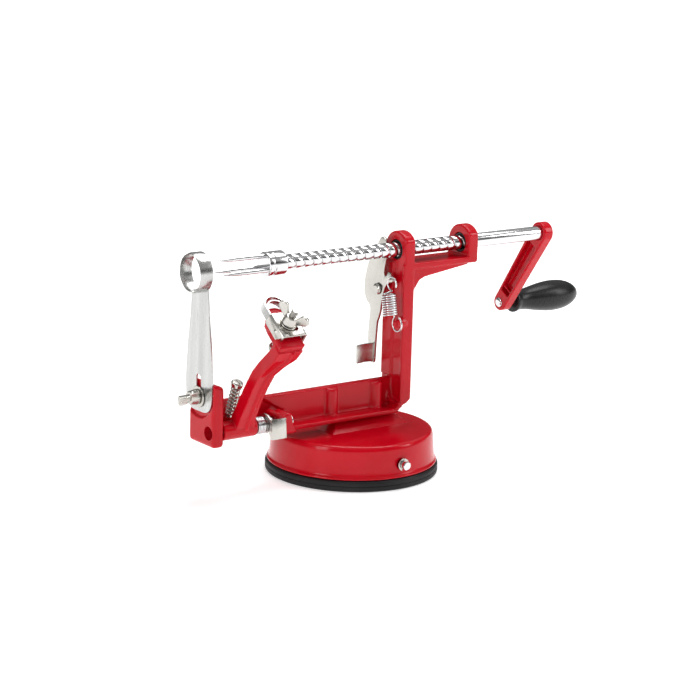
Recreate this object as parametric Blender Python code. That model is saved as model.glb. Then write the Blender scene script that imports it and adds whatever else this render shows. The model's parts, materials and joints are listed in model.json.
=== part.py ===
"""Apple peeler, corer and slicer on a suction base.

The origin is the centre of the pad's underside. +X points along the drive shaft towards
the crank, +Z is up, and the peeling blade stands on the -Y side. Sizes are in
millimetres; MM turns them into metres where a mesh is made.
"""

import math

import bmesh
import bpy
from mathutils import Matrix, Vector

MM = 0.001
GAP = 0.3

# Drive shaft
SHAFT_Z = 126.1
SHAFT_R = 4.2
PITCH = 6.0
THREAD_START = -57.0
THREAD_END = 82.0
THREAD_FADE = 4.0
THREAD_PHASE = -0.23
GROOVE_WIDTH = 1.5
GROOVE_DEPTH = 1.0
SHAFT_LEFT = -58.0

# Frame casting
COLUMN_X = (28.3, 35.3)
REAR_HEAD_X = (75.0, 82.0)
HEAD_R = 10.7
WALL_Y = (-9.2, 10.7)
BEAM_Z = (31.3, 50.5)
WEB_Y = (0.8, 4.8)
LEDGE_TOP = 33.8
BLOCK_X = (-105.6, -98.3)
BLOCK_Y = (-15.2, 9.9)
BLOCK_Z = (30.9, 66.5)
BEAM_LEFT = -49.0
BUSH_R = 5.7

# Suction base
PAD_R = 50.0
PAD_HEIGHT = 6.2
DOME_R = PAD_R - 2.4
DOME_TOP = 25.3
DOME_WALL = 2.2
SADDLE_TOP = BEAM_Z[0] - GAP
CAM_Z = 14.0
CAM_R = 2.5
CAM_THROW = 1.0
CAM_LOBE_R = 3.0
STUD_STEM_R = 3.5
SCREW_X = (-14.8, 17.0)
SCREW_Y = 1.6
SCREW_R = 1.9

# Crank
CRANK_X = (135.8, 142.8)
CRANK_LENGTH = 59.0
CRANK_ANGLE = math.degrees(math.asin(33.0 / CRANK_LENGTH))
HANDLE_Y = 33.0
HANDLE_Z = SHAFT_Z - math.sqrt(CRANK_LENGTH ** 2 - HANDLE_Y ** 2)
GRIP_X = (145.5, 196.4)
SPINDLE_R = 2.4

# Release lever
LEVER_X = (23.25, 24.75)
LEVER_PIVOT = (9.7, 101.6)
LEVER_SCREW_R = 1.8
SPRING_X = 19.6
SPRING_R = 3.9
SPRING_WIRE = 0.55

# Peeler arm
ROD_Y = -10.0
ROD_Z = 38.0
ROD_R = 3.6
HUB_R = 5.4
HUB_X = (-97.9, -76.1)
CLAMP_X = (-82.0, -66.0)
BOLT_X = -74.6

# Corer and slicer strap
STRAP_X = (-105.4, -104.5)
STRAP_HALF_WIDTH = 13.2
CORER_BOLT_Z = 56.7
CORER_R = 10.2
THREAD_BOLT_R = 1.9


# ---------------------------------------------------------------- making tools

def clear_scene():
    for obj in list(bpy.data.objects):
        bpy.data.objects.remove(obj)


def paint(name, colour, roughness, metallic):
    material = bpy.data.materials.new(name)
    material.use_nodes = True
    shader = material.node_tree.nodes["Principled BSDF"]
    shader.inputs["Base Color"].default_value = (*colour, 1.0)
    shader.inputs["Roughness"].default_value = roughness
    shader.inputs["Metallic"].default_value = metallic
    return material


def red_paint(name):
    return paint(name, (0.45, 0.008, 0.015), 0.22, 0.0)


def plated_steel(name):
    return paint(name, (0.62, 0.60, 0.55), 0.25, 1.0)


def bright_steel(name):
    return paint(name, (0.75, 0.75, 0.76), 0.15, 1.0)


def black_plastic(name):
    return paint(name, (0.012, 0.012, 0.013), 0.35, 0.0)


def add_mesh(name, points, faces, material):
    """One object from points in millimetres, its faces turned outwards."""
    mesh = bpy.data.meshes.new(name)
    work = bmesh.new()
    corners = [work.verts.new(Vector(point) * MM) for point in points]
    for face in faces:
        work.faces.new([corners[index] for index in face])
    bmesh.ops.recalc_face_normals(work, faces=work.faces)
    work.to_mesh(mesh)
    work.free()
    obj = bpy.data.objects.new(name, mesh)
    bpy.context.scene.collection.objects.link(obj)
    mesh.materials.append(material)
    return obj


def arc(centre, radius, start, end, steps):
    """Points on a circle in a plane, from one angle in degrees to another."""
    angles = [math.radians(start + (end - start) * step / steps) for step in range(steps + 1)]
    return [(centre[0] + radius * math.cos(a), centre[1] + radius * math.sin(a)) for a in angles]


def prism(name, outline, axis, span, material=None):
    """An outline pushed along an axis. It is (y, z) across X, (x, z) across Y, (x, y) across Z."""
    place = {
        "X": lambda a, b, h: (h, a, b),
        "Y": lambda a, b, h: (a, h, b),
        "Z": lambda a, b, h: (a, b, h),
    }[axis]
    count = len(outline)
    points = [place(a, b, h) for h in span for a, b in outline]
    sides = [(i, (i + 1) % count, count + (i + 1) % count, count + i) for i in range(count)]
    ends = [tuple(range(count))[::-1], tuple(range(count, 2 * count))]
    return add_mesh(name, points, sides + ends, material)


def turned(name, profile, origin, direction, material=None, segments=24):
    """A profile of (radius, height) pairs turned about a line. Pairs with radius 0 close an end."""
    turn = Vector((0, 0, 1)).rotation_difference(Vector(direction)).to_matrix()
    points = []
    rings = []
    for radius, height in profile:
        count = 1 if radius == 0 else segments
        rings.append(range(len(points), len(points) + count))
        for step in range(count):
            angle = 2 * math.pi * step / segments
            local = Vector((radius * math.cos(angle), radius * math.sin(angle), height))
            points.append(Vector(origin) + turn @ local)
    faces = []
    closed = profile[0][0] != 0
    pairs = list(zip(rings, rings[1:])) + ([(rings[-1], rings[0])] if closed else [])
    for low, high in pairs:
        for step in range(segments):
            after = (step + 1) % segments
            corners = [low[step % len(low)], low[after % len(low)], high[after % len(high)], high[step % len(high)]]
            faces.append(list(dict.fromkeys(corners)))
    obj = add_mesh(name, points, faces, material)
    smooth(obj)
    return obj


def rod(name, radius, start, end, material=None, segments=24, edge=0.0):
    """A plain cylinder between two points, with chamfered ends when edge is set."""
    line = Vector(end) - Vector(start)
    length = line.length
    profile = [(0, 0), (radius - edge, 0), (radius, edge), (radius, length - edge), (radius - edge, length), (0, length)]
    if edge == 0:
        profile = [(0, 0), (radius, 0), (radius, length), (0, length)]
    return turned(name, profile, start, line.normalized(), material, segments)


def sweep(name, path, radius, material=None, sides=8):
    """A round wire along a path of points, with closed ends."""
    centres = [Vector(point) for point in path]
    points = []
    across = None
    for index, centre in enumerate(centres):
        before = centres[max(index - 1, 0)]
        after = centres[min(index + 1, len(centres) - 1)]
        along = (after - before).normalized()
        if across is None:
            across = along.orthogonal().normalized()
        across = (across - along * across.dot(along)).normalized()
        other = along.cross(across)
        for side in range(sides):
            angle = 2 * math.pi * side / sides
            points.append(centre + radius * (math.cos(angle) * across + math.sin(angle) * other))
    faces = []
    for ring in range(len(centres) - 1):
        for side in range(sides):
            after = (side + 1) % sides
            low = ring * sides
            faces.append((low + side, low + after, low + sides + after, low + sides + side))
    faces.append(tuple(range(sides))[::-1])
    faces.append(tuple(range(len(points) - sides, len(points))))
    obj = add_mesh(name, points, faces, material)
    smooth(obj)
    return obj


def smooth(obj):
    obj.data.shade_smooth()
    obj.data.set_sharp_from_angle(angle=math.radians(35))


def bake(obj):
    """Replaces the object's mesh by the result of its modifiers."""
    bpy.context.view_layer.update()
    graph = bpy.context.evaluated_depsgraph_get()
    baked = bpy.data.meshes.new_from_object(obj.evaluated_get(graph))
    obj.modifiers.clear()
    obj.data = baked


def combine(obj, tool, operation):
    modifier = obj.modifiers.new(operation.title(), "BOOLEAN")
    modifier.operation = operation
    modifier.solver = "EXACT"
    modifier.object = tool
    bake(obj)
    bpy.data.objects.remove(tool)


def join(obj, *tools):
    for tool in tools:
        combine(obj, tool, "UNION")
    return obj


def cut(obj, *tools):
    for tool in tools:
        combine(obj, tool, "DIFFERENCE")
    return obj


def soften(obj, width, segments=2):
    """Rounds the sharp edges of a simple block before it joins others."""
    modifier = obj.modifiers.new("Edges", "BEVEL")
    modifier.width = width * MM
    modifier.segments = segments
    modifier.limit_method = "ANGLE"
    modifier.angle_limit = math.radians(35)
    bake(obj)
    return obj


def hang_on(obj, point):
    """Puts the object's origin on its joint's axis."""
    centre = Vector(point) * MM
    obj.data.transform(Matrix.Translation(-centre))
    obj.location = centre
    return obj


# ---------------------------------------------------------------- suction base

def make_suction_pad():
    """Rubber disc with a thick rim that the dome's lip stands on."""
    rim = PAD_R - 6.0
    profile = [(0, 0), (PAD_R - 0.8, 0), (PAD_R, 0.8), (PAD_R, PAD_HEIGHT - 0.8), (PAD_R - 0.8, PAD_HEIGHT)]
    profile += [(rim, PAD_HEIGHT), (rim - 1.5, 2.5), (0, 2.5)]
    material = paint("suction_pad", (0.015, 0.015, 0.016), 0.6, 0.0)
    return turned("suction_pad", profile, (0, 0, 0), (0, 0, 1), material, 48)


def make_suction_dome():
    """Drawn red dome with a raised saddle for the frame and holes for the cam shaft."""
    lip = PAD_HEIGHT + GAP
    inside = DOME_TOP - DOME_WALL
    profile = [(DOME_R + 1.4, lip), (DOME_R + 1.5, lip + 0.9), (DOME_R + 0.6, lip + 2.0), (DOME_R, lip + 5.0)]
    profile += [(DOME_R - 0.9, DOME_TOP - 2.2), (DOME_R - 1.5, DOME_TOP - 0.6), (DOME_R - 2.6, DOME_TOP)]
    profile += [(0, DOME_TOP), (0, inside), (DOME_R - 4.8, inside), (DOME_R - 3.2, inside - 2.0)]
    profile += [(DOME_R - 1.4, lip)]
    dome = turned_shell("suction_dome", profile, red_paint("suction_dome"))
    slope = 7.5
    saddle = [(-22, DOME_TOP - 1), (-22, DOME_TOP), (-15.0, SADDLE_TOP - 1), (-14.0, SADDLE_TOP)]
    saddle += [(27, SADDLE_TOP), (32, DOME_TOP), (32, DOME_TOP - 1)]
    block = prism("saddle", saddle, "Y", (-11.5, 9.5))
    for point in block.data.vertices:
        rise = (point.co.z / MM - DOME_TOP) / (SADDLE_TOP - DOME_TOP)
        point.co.y += (slope if point.co.y < 0 else -1.0) * max(rise, 0) * MM
    join(dome, block)
    for x in SCREW_X:
        cut(dome, rod("hole", SCREW_R + 0.4, (x, SCREW_Y, 12), (x, SCREW_Y, SADDLE_TOP + 2), segments=20))
    cut(dome, rod("hole", CAM_R + GAP, (0, -60, CAM_Z), (0, 60, CAM_Z), segments=24))
    smooth(dome)
    return dome


def turned_shell(name, profile, material):
    """A turned cup: its outer skin, its lip and its inner skin in one closed profile."""
    return turned(name, sorted_from_axis(profile), (0, 0, 0), (0, 0, 1), material, 48)


def sorted_from_axis(profile):
    """Starts and ends the profile on the axis."""
    start = next(i for i, point in enumerate(profile) if point[0] == 0)
    ordered = profile[start + 1:] + profile[:start + 1]
    return ordered


def make_cam_shaft():
    """Steel shaft across the dome with the lobe that lifts the pad's stud."""
    reach = DOME_R + 5.2
    profile = [(0, -reach), (CAM_R - 0.4, -reach), (CAM_R, -reach + 0.4), (CAM_R, -reach + 3.2)]
    profile += [(CAM_R - 0.6, -reach + 3.2), (CAM_R - 0.6, -reach + 4.3), (CAM_R, -reach + 4.3)]
    profile += [(CAM_R, reach + 0.6), (0, reach + 0.6)]
    shaft = turned("cam_shaft", profile, (0, 0, CAM_Z), (0, 1, 0), bright_steel("cam_shaft"))
    lobe_z = CAM_Z - CAM_THROW
    join(shaft, rod("lobe", CAM_LOBE_R, (0, -3, lobe_z), (0, 3, lobe_z)))
    smooth(shaft)
    return hang_on(shaft, (0, 0, CAM_Z))


def make_cam_clip():
    """Spring clip in the groove at the shaft's outer end."""
    low = -(DOME_R + 3.2) + 1.45
    inner = CAM_R - 0.6 + 0.12
    profile = [(inner, low), (CAM_R + 1.3, low), (CAM_R + 1.3, low + 0.6), (inner, low + 0.6)]
    clip = turned("cam_clip", profile, (0, 0, CAM_Z), (0, 1, 0), plated_steel("cam_clip"))
    return hang_on(clip, (0, 0, CAM_Z))


def make_suction_lever():
    """Flat lever on the shaft's far end. It lies low behind the dome and turns over to lock."""
    hub = 6.0
    outline = arc((0, CAM_Z), hub, 60, 300, 14)
    outline += [(30.0, CAM_Z - 3.6)] + arc((34.0, CAM_Z), 4.6, -60, 60, 6) + [(30.0, CAM_Z + 3.6)]
    y = DOME_R + 2.6
    lever = prism("suction_lever", outline, "Y", (y, y + 2.4), plated_steel("suction_lever"))
    cut(lever, rod("hole", CAM_R + GAP, (0, y - 2, CAM_Z), (0, y + 5, CAM_Z), segments=24))
    return hang_on(lever, (0, 0, CAM_Z))


def make_lift_stud():
    """Stud on the pad with a yoke around the cam's lobe."""
    low = 2.5 + GAP
    window = CAM_LOBE_R + CAM_THROW + 0.5
    top = CAM_Z + CAM_R + 0.4
    floor = CAM_Z - CAM_R - 2 * CAM_THROW - 0.4
    profile = [(0, low), (9, low), (9, low + 1.4), (STUD_STEM_R, low + 2.0), (STUD_STEM_R, floor - 1.0), (0, floor - 1.0)]
    stud = turned("lift_stud", profile, (0, 0, 0), (0, 0, 1), plated_steel("lift_stud"))
    side = window + 1.8
    yoke = prism("yoke", [(-side, floor - 1.6), (side, floor - 1.6), (side, top + 1.2), (-side, top + 1.2)], "Y", (-2.4, 2.4))
    hole = prism("hole", [(-window, floor), (window, floor), (window, top), (-window, top)], "Y", (-9, 9))
    join(stud, cut(yoke, hole))
    return stud


def make_base_screw(name, x):
    """Screw from inside the dome up into a boss of the frame."""
    head = DOME_TOP - DOME_WALL - GAP
    profile = [(0, head - 2.4), (3.2, head - 2.4), (3.8, head - 1.4), (3.8, head), (SCREW_R, head)]
    profile += [(SCREW_R, 43.0), (0, 44.0)]
    return turned(name, profile, (x, SCREW_Y, 0), (0, 0, 1), plated_steel(name), 20)


# ---------------------------------------------------------------- frame

def head_outline(low):
    """Round-topped outline of a head, in (y, z), down to a height."""
    start = math.degrees(math.acos(WALL_Y[0] / HEAD_R))
    top = arc((0, SHAFT_Z), HEAD_R, 0, start, 14)
    return [(WALL_Y[1], low)] + top + [(WALL_Y[0], low)]


def make_frame():
    """C-shaped casting: front block, beam, column, rear arm and both shaft heads in one."""
    frame = soften(prism("frame_casting", head_outline(31.6), "X", COLUMN_X, red_paint("frame_casting")), 0.9)
    rear = soften(prism("rear_head", head_outline(113.0), "X", REAR_HEAD_X), 0.9)
    low = 115.4
    arm = [(30, 118.6), (30, 100), (36.4, 100.0), (37.4, 102.6)] + [(40.7, 109.1), (REAR_HEAD_X[0] + 1, 113.9)]
    arm += [(REAR_HEAD_X[0] + 1, 118.6)]
    rib = prism("rib", arm, "Y", (-7.0, -2.6))
    flange = prism("flange", [(30, low), (78, low), (78, 118.6), (30, 118.6)], "Y", (WALL_Y[0] + 0.2, WALL_Y[1] - 0.2))
    end = -97.0
    panel = [(end, BEAM_Z[0] + 0.3), (30, BEAM_Z[0] + 0.3), (30, BEAM_Z[1]), (-64, BEAM_Z[1]), (-66, 52), (end, 52)]
    web = prism("web", panel, "Y", (WEB_Y[0] + 1.4, WEB_Y[1]))
    face = [(BEAM_LEFT, BEAM_Z[0] + 0.6), (29, BEAM_Z[0] + 0.6), (29, BEAM_Z[1] - 0.2), (-62.9, BEAM_Z[1] - 0.2)]
    face += [(-47.7, 40.9), (-47.7, 36.0)]
    front = prism("front", face, "Y", (WEB_Y[0], WEB_Y[0] + 2.0))
    ledge = prism("ledge", [(BEAM_LEFT, BEAM_Z[0]), (29.5, BEAM_Z[0]), (29.5, LEDGE_TOP), (BEAM_LEFT, LEDGE_TOP)],
                  "Y", (WALL_Y[0], WEB_Y[1] - 0.2))
    shelf = prism("shelf", [(end - 1, BEAM_Z[0] + 0.1), (-46, BEAM_Z[0] + 0.1), (-46, LEDGE_TOP - 0.3), (end - 1, LEDGE_TOP - 0.3)],
                  "Y", (-3.8, WEB_Y[1] - 0.1))
    lug = [(-63.6, 31.5), (-63.6, 41.0)] + arc((-61.1, 41.1), 2.5, 175, 35, 5) + arc((-54.6, 39.5), 2.5, 130, 10, 5)
    lug += [(-49.8, 33.0), (-49.8, 31.5)]
    rest = prism("lug", lug, "Y", (ROD_Y - HUB_R + 0.6, -2.6))
    join(frame, rear, flange, rib, web, front, ledge, shelf, rest, make_block())
    bosses = [rod("boss", 4.2, (x, SCREW_Y, BEAM_Z[0] + 0.2), (x, SCREW_Y, BEAM_Z[1] - 1.2), segments=20, edge=0.8)
              for x in SCREW_X]
    strip = prism("strip", [(0.8, 52.5), (9.8, 52.5), (9.8, 117), (0.8, 119)], "X", (27.2, 29.0))
    ear = rod("ear", 4.6, (LEVER_X[1] + GAP, *LEVER_PIVOT), (30, *LEVER_PIVOT), segments=24)
    peg = rod("peg", 2.2, (21.0, -8.6, 84.3), (30, -6.8, 84.3), segments=20, edge=0.3)
    join(frame, *bosses, strip, ear, peg, make_stop_boss())
    for x in SCREW_X:
        cut(frame, rod("hole", SCREW_R + 0.3, (x, SCREW_Y, 20), (x, SCREW_Y, 46), segments=20))
    for span in (COLUMN_X, REAR_HEAD_X):
        cut(frame, rod("hole", BUSH_R + GAP, (span[0] - 6, 0, SHAFT_Z), (span[1] + 6, 0, SHAFT_Z), segments=36))
    cut(frame, rod("hole", ROD_R + GAP, (-110, ROD_Y, ROD_Z), (-45, ROD_Y, ROD_Z), segments=28))
    cut(frame, rod("hole", LEVER_SCREW_R + GAP, (20, *LEVER_PIVOT), (31, *LEVER_PIVOT), segments=20))
    cut(frame, rod("hole", THREAD_BOLT_R + GAP, (-110, 0, CORER_BOLT_Z), (-96, 0, CORER_BOLT_Z), segments=20))
    cut(frame, stop_line_rod("hole", 1.9, 15.0, 36.0))
    smooth(frame)
    return frame


def make_block():
    """Upright block at the front end. Its outer face is cut back for the corer strap."""
    x0, x1 = BLOCK_X
    side = [(x0, BLOCK_Z[0]), (x1, BLOCK_Z[0]), (x1, BLOCK_Z[1] - 3.2), (x0 + 1.8, BLOCK_Z[1]), (x0, BLOCK_Z[1])]
    block = soften(prism("block", side, "Y", BLOCK_Y), 1.3)
    rounded = [(-13.6, 80), (-13.6, 56.0)] + arc((0, 61.0), 14.2, 205, 300, 8) + [(16, 52.0), (16, 80)]
    cut(block, prism("recess", rounded, "X", (x0 - 4, STRAP_X[1] + GAP)))
    neck = prism("neck", [(x1 - 1, 31.6), (-95.5, 31.6), (-95.5, 50), (x1 - 1, 52.4)], "Y", (-3.6, WEB_Y[1] - 0.3))
    return join(block, neck)


# ---------------------------------------------------------------- drive

def make_bush(name, span):
    """Plain plastic bush in a head."""
    inner = SHAFT_R + 0.25
    profile = [(inner, span[0] + 0.4), (BUSH_R, span[0] + 0.4), (BUSH_R, span[1] - 0.4), (inner, span[1] - 0.4)]
    return turned(name, profile, (0, 0, SHAFT_Z), (1, 0, 0), black_plastic(name), 36)


def thread_depth(x, first, last):
    """Depth of the groove, fading out near its first and last edges."""
    plain = GROOVE_WIDTH / 2 + 0.45
    fade = min((x - first - plain) / THREAD_FADE, (last - plain - x) / THREAD_FADE, 1.0)
    return GROOVE_DEPTH * max(fade, 0.0)


def make_shaft(sides=16):
    """Shaft with a right-hand square groove, plain at the fork end and towards the crank."""
    first = THREAD_PHASE + PITCH * math.ceil(THREAD_START / PITCH)
    turns = int((THREAD_END - first) / PITCH)
    last = first + PITCH * (turns - 1 / sides)
    half = GROOVE_WIDTH / 2
    edges = ((-half - 0.25, 0), (-half + 0.1, 1), (half - 0.1, 1), (half + 0.25, 0))
    points = []
    rows = []
    ends = (SHAFT_LEFT, CRANK_X[1] - 0.2)
    rings = []
    for side in range(sides):
        angle = 2 * math.pi * side / sides
        across = (math.cos(angle), math.sin(angle))
        row = []
        for turn in range(turns):
            for offset, deep in edges:
                x = first + PITCH * (turn + side / sides) + offset
                radius = SHAFT_R - deep * thread_depth(x, first, last)
                row.append(len(points))
                points.append((x, radius * across[0], SHAFT_Z + radius * across[1]))
        rows.append(row)
        ring = []
        for x in ends:
            ring.append(len(points))
            points.append((x, SHAFT_R * across[0], SHAFT_Z + SHAFT_R * across[1]))
        rings.append(ring)
    faces = []
    for side in range(sides - 1):
        a, b = rows[side], rows[side + 1]
        faces += [(a[i], b[i], b[i + 1], a[i + 1]) for i in range(len(a) - 1)]
        faces.append((rings[side][0], rings[side + 1][0], b[0], a[0]))
        faces.append((a[-1], b[-1], rings[side + 1][1], rings[side][1]))
    a, b = rows[-1], rows[0]
    faces += [(a[i], b[i + 4], b[i + 5], a[i + 1]) for i in range(len(a) - 5)]
    faces.append((rings[-1][0], rings[0][0], b[0], b[1], b[2], b[3], b[4], a[0]))
    faces.append((b[-1], rings[0][1], rings[-1][1], a[-1], a[-2], a[-3], a[-4], a[-5]))
    faces.append([ring[0] for ring in rings])
    faces.append([ring[1] for ring in rings])
    shaft = add_mesh("drive_shaft", points, faces, bright_steel("drive_shaft"))
    smooth(shaft)
    return hang_on(shaft, (0, 0, SHAFT_Z))


def make_fork():
    """Hub on the shaft's end with three pointed prongs for the fruit."""
    hub = [(0, -64), (6.2, -64), (7.0, -63.2), (7.0, -52.5), (6.2, -51.5), (SHAFT_R + GAP, -51.5)]
    hub += [(SHAFT_R + GAP, SHAFT_LEFT - GAP), (0, SHAFT_LEFT - GAP)]
    fork = turned("fruit_fork", hub, (0, 0, SHAFT_Z), (1, 0, 0), bright_steel("fruit_fork"))
    for turn in range(3):
        angle = math.radians(90 + 120 * turn)
        y = 4.8 * math.cos(angle)
        z = SHAFT_Z + 4.8 * math.sin(angle)
        profile = [(0, 0), (1.3, 0), (1.3, 22), (0.25, 30), (0, 30.2)]
        join(fork, turned("prong", profile, (-63, y, z), (-1, 0, 0), segments=10))
    return hang_on(fork, (0, 0, SHAFT_Z))


def make_crank():
    """Cast crank arm, hollowed on the side towards the frame."""
    upper = 6.6
    lower = 5.2
    outline = arc((0, 0), upper, 5, 175, 10) + arc((0, -CRANK_LENGTH), lower, 185, 355, 9)
    arm = soften(prism("crank_arm", outline, "X", CRANK_X, red_paint("crank_arm")), 0.8)
    trough = [(-3.6, -9.5), (-2.9, -44.0), (2.9, -44.0), (3.6, -9.5)]
    cut(arm, prism("trough", trough, "X", (CRANK_X[0] - 3, CRANK_X[0] + 4.0)))
    cut(arm, rod("hole", SHAFT_R + GAP, (CRANK_X[0] - 3, 0, 0), (CRANK_X[1] + 3, 0, 0), segments=28))
    cut(arm, rod("hole", SPINDLE_R + GAP, (CRANK_X[0] - 3, 0, -CRANK_LENGTH), (CRANK_X[1] + 3, 0, -CRANK_LENGTH), segments=20))
    arm.data.transform(Matrix.Rotation(math.radians(CRANK_ANGLE), 4, "X"))
    arm.data.transform(Matrix.Translation(Vector((0, 0, SHAFT_Z)) * MM))
    smooth(arm)
    return hang_on(arm, (0, 0, SHAFT_Z))


def make_spindle():
    """Riveted spindle that carries the grip."""
    x0 = CRANK_X[0]
    head = GRIP_X[1] - 9.0
    profile = [(0, x0 - 1.6), (2.2, x0 - 1.5), (3.6, x0 - 0.9), (3.6, x0 - GAP), (SPINDLE_R, x0 - GAP)]
    profile += [(SPINDLE_R, head), (4.0, head), (4.0, head + 1.6), (0, head + 1.6)]
    return turned("grip_spindle", profile, (0, HANDLE_Y, HANDLE_Z), (1, 0, 0), plated_steel("grip_spindle"), 24)


def make_grip():
    """Pear-shaped grip that turns on the spindle."""
    x0, x1 = GRIP_X
    bore = SPINDLE_R + GAP
    head = x1 - 9.0 - GAP
    profile = [(bore, x0), (6.4, x0), (7.2, x0 + 0.6), (7.2, x0 + 2.2), (6.5, x0 + 4.5), (6.4, x0 + 8.5)]
    profile += [(7.3, x0 + 14.0), (8.7, x0 + 22.4), (9.5, x0 + 31.7), (9.3, x0 + 38.2), (8.2, x1 - 6.6)]
    profile += [(6.4, x1 - 2.4), (4.6, x1 - 0.7), (4.3, x1), (4.3, head), (bore, head)]
    grip = turned("handle_grip", profile, (0, HANDLE_Y, HANDLE_Z), (1, 0, 0), black_plastic("handle_grip"), 32)
    return hang_on(grip, (GRIP_X[0], HANDLE_Y, HANDLE_Z))


# ---------------------------------------------------------------- release lever

def make_release_lever():
    """Flat plated lever. Its upper edge catches the shaft's groove from the far side."""
    tooth = SHAFT_R - GROOVE_DEPTH + 0.35
    outline = [(7.4, 132.7), (4.6, 132.2), (3.6, 130.8)]
    outline += [(y, SHAFT_Z + z) for y, z in reversed(arc((0, 0), SHAFT_R + 0.45, -58, 44, 10))]
    outline += [(3.4, 117.5), (4.4, 110.9), (1.8, 110.4), (0.2, 112.9), (-1.0, 112.9), (-3.9, 109.6), (-3.9, 108.0), (1.5, 106.0)]
    outline += [(5.0, 99.0), (7.4, 88.4), (10.0, 82.7), (11.5, 64.2), (11.7, 58.2), (12.7, 56.8), (14.5, 56.8), (15.7, 58.2)]
    outline += [(18.2, 71.9), (16.4, 89.6), (21.0, 94.0), (22.7, 99.2), (22.0, 108.0), (19.1, 116.5), (11.0, 128.6)]
    lever = prism("release_lever", outline, "X", LEVER_X, plated_steel("release_lever"))
    cut(lever, rod("hole", LEVER_SCREW_R + 0.25, (20, *LEVER_PIVOT), (28, *LEVER_PIVOT), segments=20))
    width = GROOVE_WIDTH - 0.9
    y = SHAFT_R + 0.9
    middle = THREAD_PHASE + PITCH * round(sum(LEVER_X) / 2 / PITCH)
    tab = prism("tooth", [(tooth, SHAFT_Z - 0.5), (y, SHAFT_Z - 0.9), (y, SHAFT_Z + 0.9), (tooth, SHAFT_Z + 0.5)],
                "X", (middle - width / 2, middle + width / 2))
    thumb = [(LEVER_X[1] - 0.8, 12.2), (LEVER_X[1] - 0.8, 13.6), (18.4, 14.8), (11.4, 13.4), (11.4, 12.0), (18.4, 13.2)]
    hook = prism("hook", [(-3.8, 108.2), (-2.6, 108.2), (-2.6, 109.4), (-3.8, 109.4)], "X", (21.0, LEVER_X[1] - 0.3))
    join(lever, tab, hook, prism("thumb", thumb, "Z", (57.8, 68.8)))
    return hang_on(lever, (LEVER_X[0], *LEVER_PIVOT))


def make_lever_screw():
    """Shouldered screw that the lever turns on."""
    head = LEVER_X[0] - GAP
    profile = [(0, head - 1.6), (2.6, head - 1.6), (3.4, head - 1.0), (3.4, head), (LEVER_SCREW_R, head)]
    profile += [(LEVER_SCREW_R, 30.2), (0, 30.2)]
    return turned("lever_screw", profile, (0, *LEVER_PIVOT), (1, 0, 0), plated_steel("lever_screw"), 20)


def make_release_spring():
    """Extension spring from the peg on the column to the lever's finger."""
    low = Vector((SPRING_X, -7.6, 88.6))
    high = Vector((SPRING_X, -5.4, 102.4))
    axis = (high - low).normalized()
    across = Vector((1, 0, 0))
    other = axis.cross(across)
    turns = 9
    steps = turns * 10
    coil = []
    for step in range(steps + 1):
        angle = 2 * math.pi * step / 10
        centre = low + (high - low) * step / steps
        coil.append(centre + SPRING_R * (math.cos(angle) * across + math.sin(angle) * other))
    loop_r = 3.9
    x = LEVER_X[0] - GAP - SPRING_WIRE
    coil = coil[3:-3]
    bottom = [Vector((x, -8.6 + loop_r * math.cos(math.radians(a)), 84.3 + loop_r * math.sin(math.radians(a))))
              for a in range(-250, 71, 32)]
    top = [Vector((x, -4.6 + loop_r * math.cos(math.radians(a)), 107.2 + loop_r * math.sin(math.radians(a))))
           for a in range(-110, 211, 32)]
    return sweep("release_spring", bottom + coil + top, SPRING_WIRE, plated_steel("release_spring"), 5)


# ---------------------------------------------------------------- peeler arm

def make_pivot_rod():
    """Steel rod through the block and the lug."""
    return rod("pivot_rod", ROD_R, (BLOCK_X[0] + 1.2, ROD_Y, ROD_Z), (-50.8, ROD_Y, ROD_Z), bright_steel("pivot_rod"), edge=0.4)


def slab(name, stations, material=None):
    """A bar lofted through stations of (x low, x high, back y, back z, front y, front z)."""
    points = []
    for x0, x1, by, bz, fy, fz in stations:
        points += [(x0, by, bz), (x1, by, bz), (x1, fy, fz), (x0, fy, fz)]
    faces = [(3, 2, 1, 0), tuple(range(len(points) - 4, len(points)))]
    for ring in range(len(stations) - 1):
        low = ring * 4
        faces += [(low + i, low + (i + 1) % 4, low + 4 + (i + 1) % 4, low + 4 + i) for i in range(4)]
    return add_mesh(name, points, faces, material)


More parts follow.
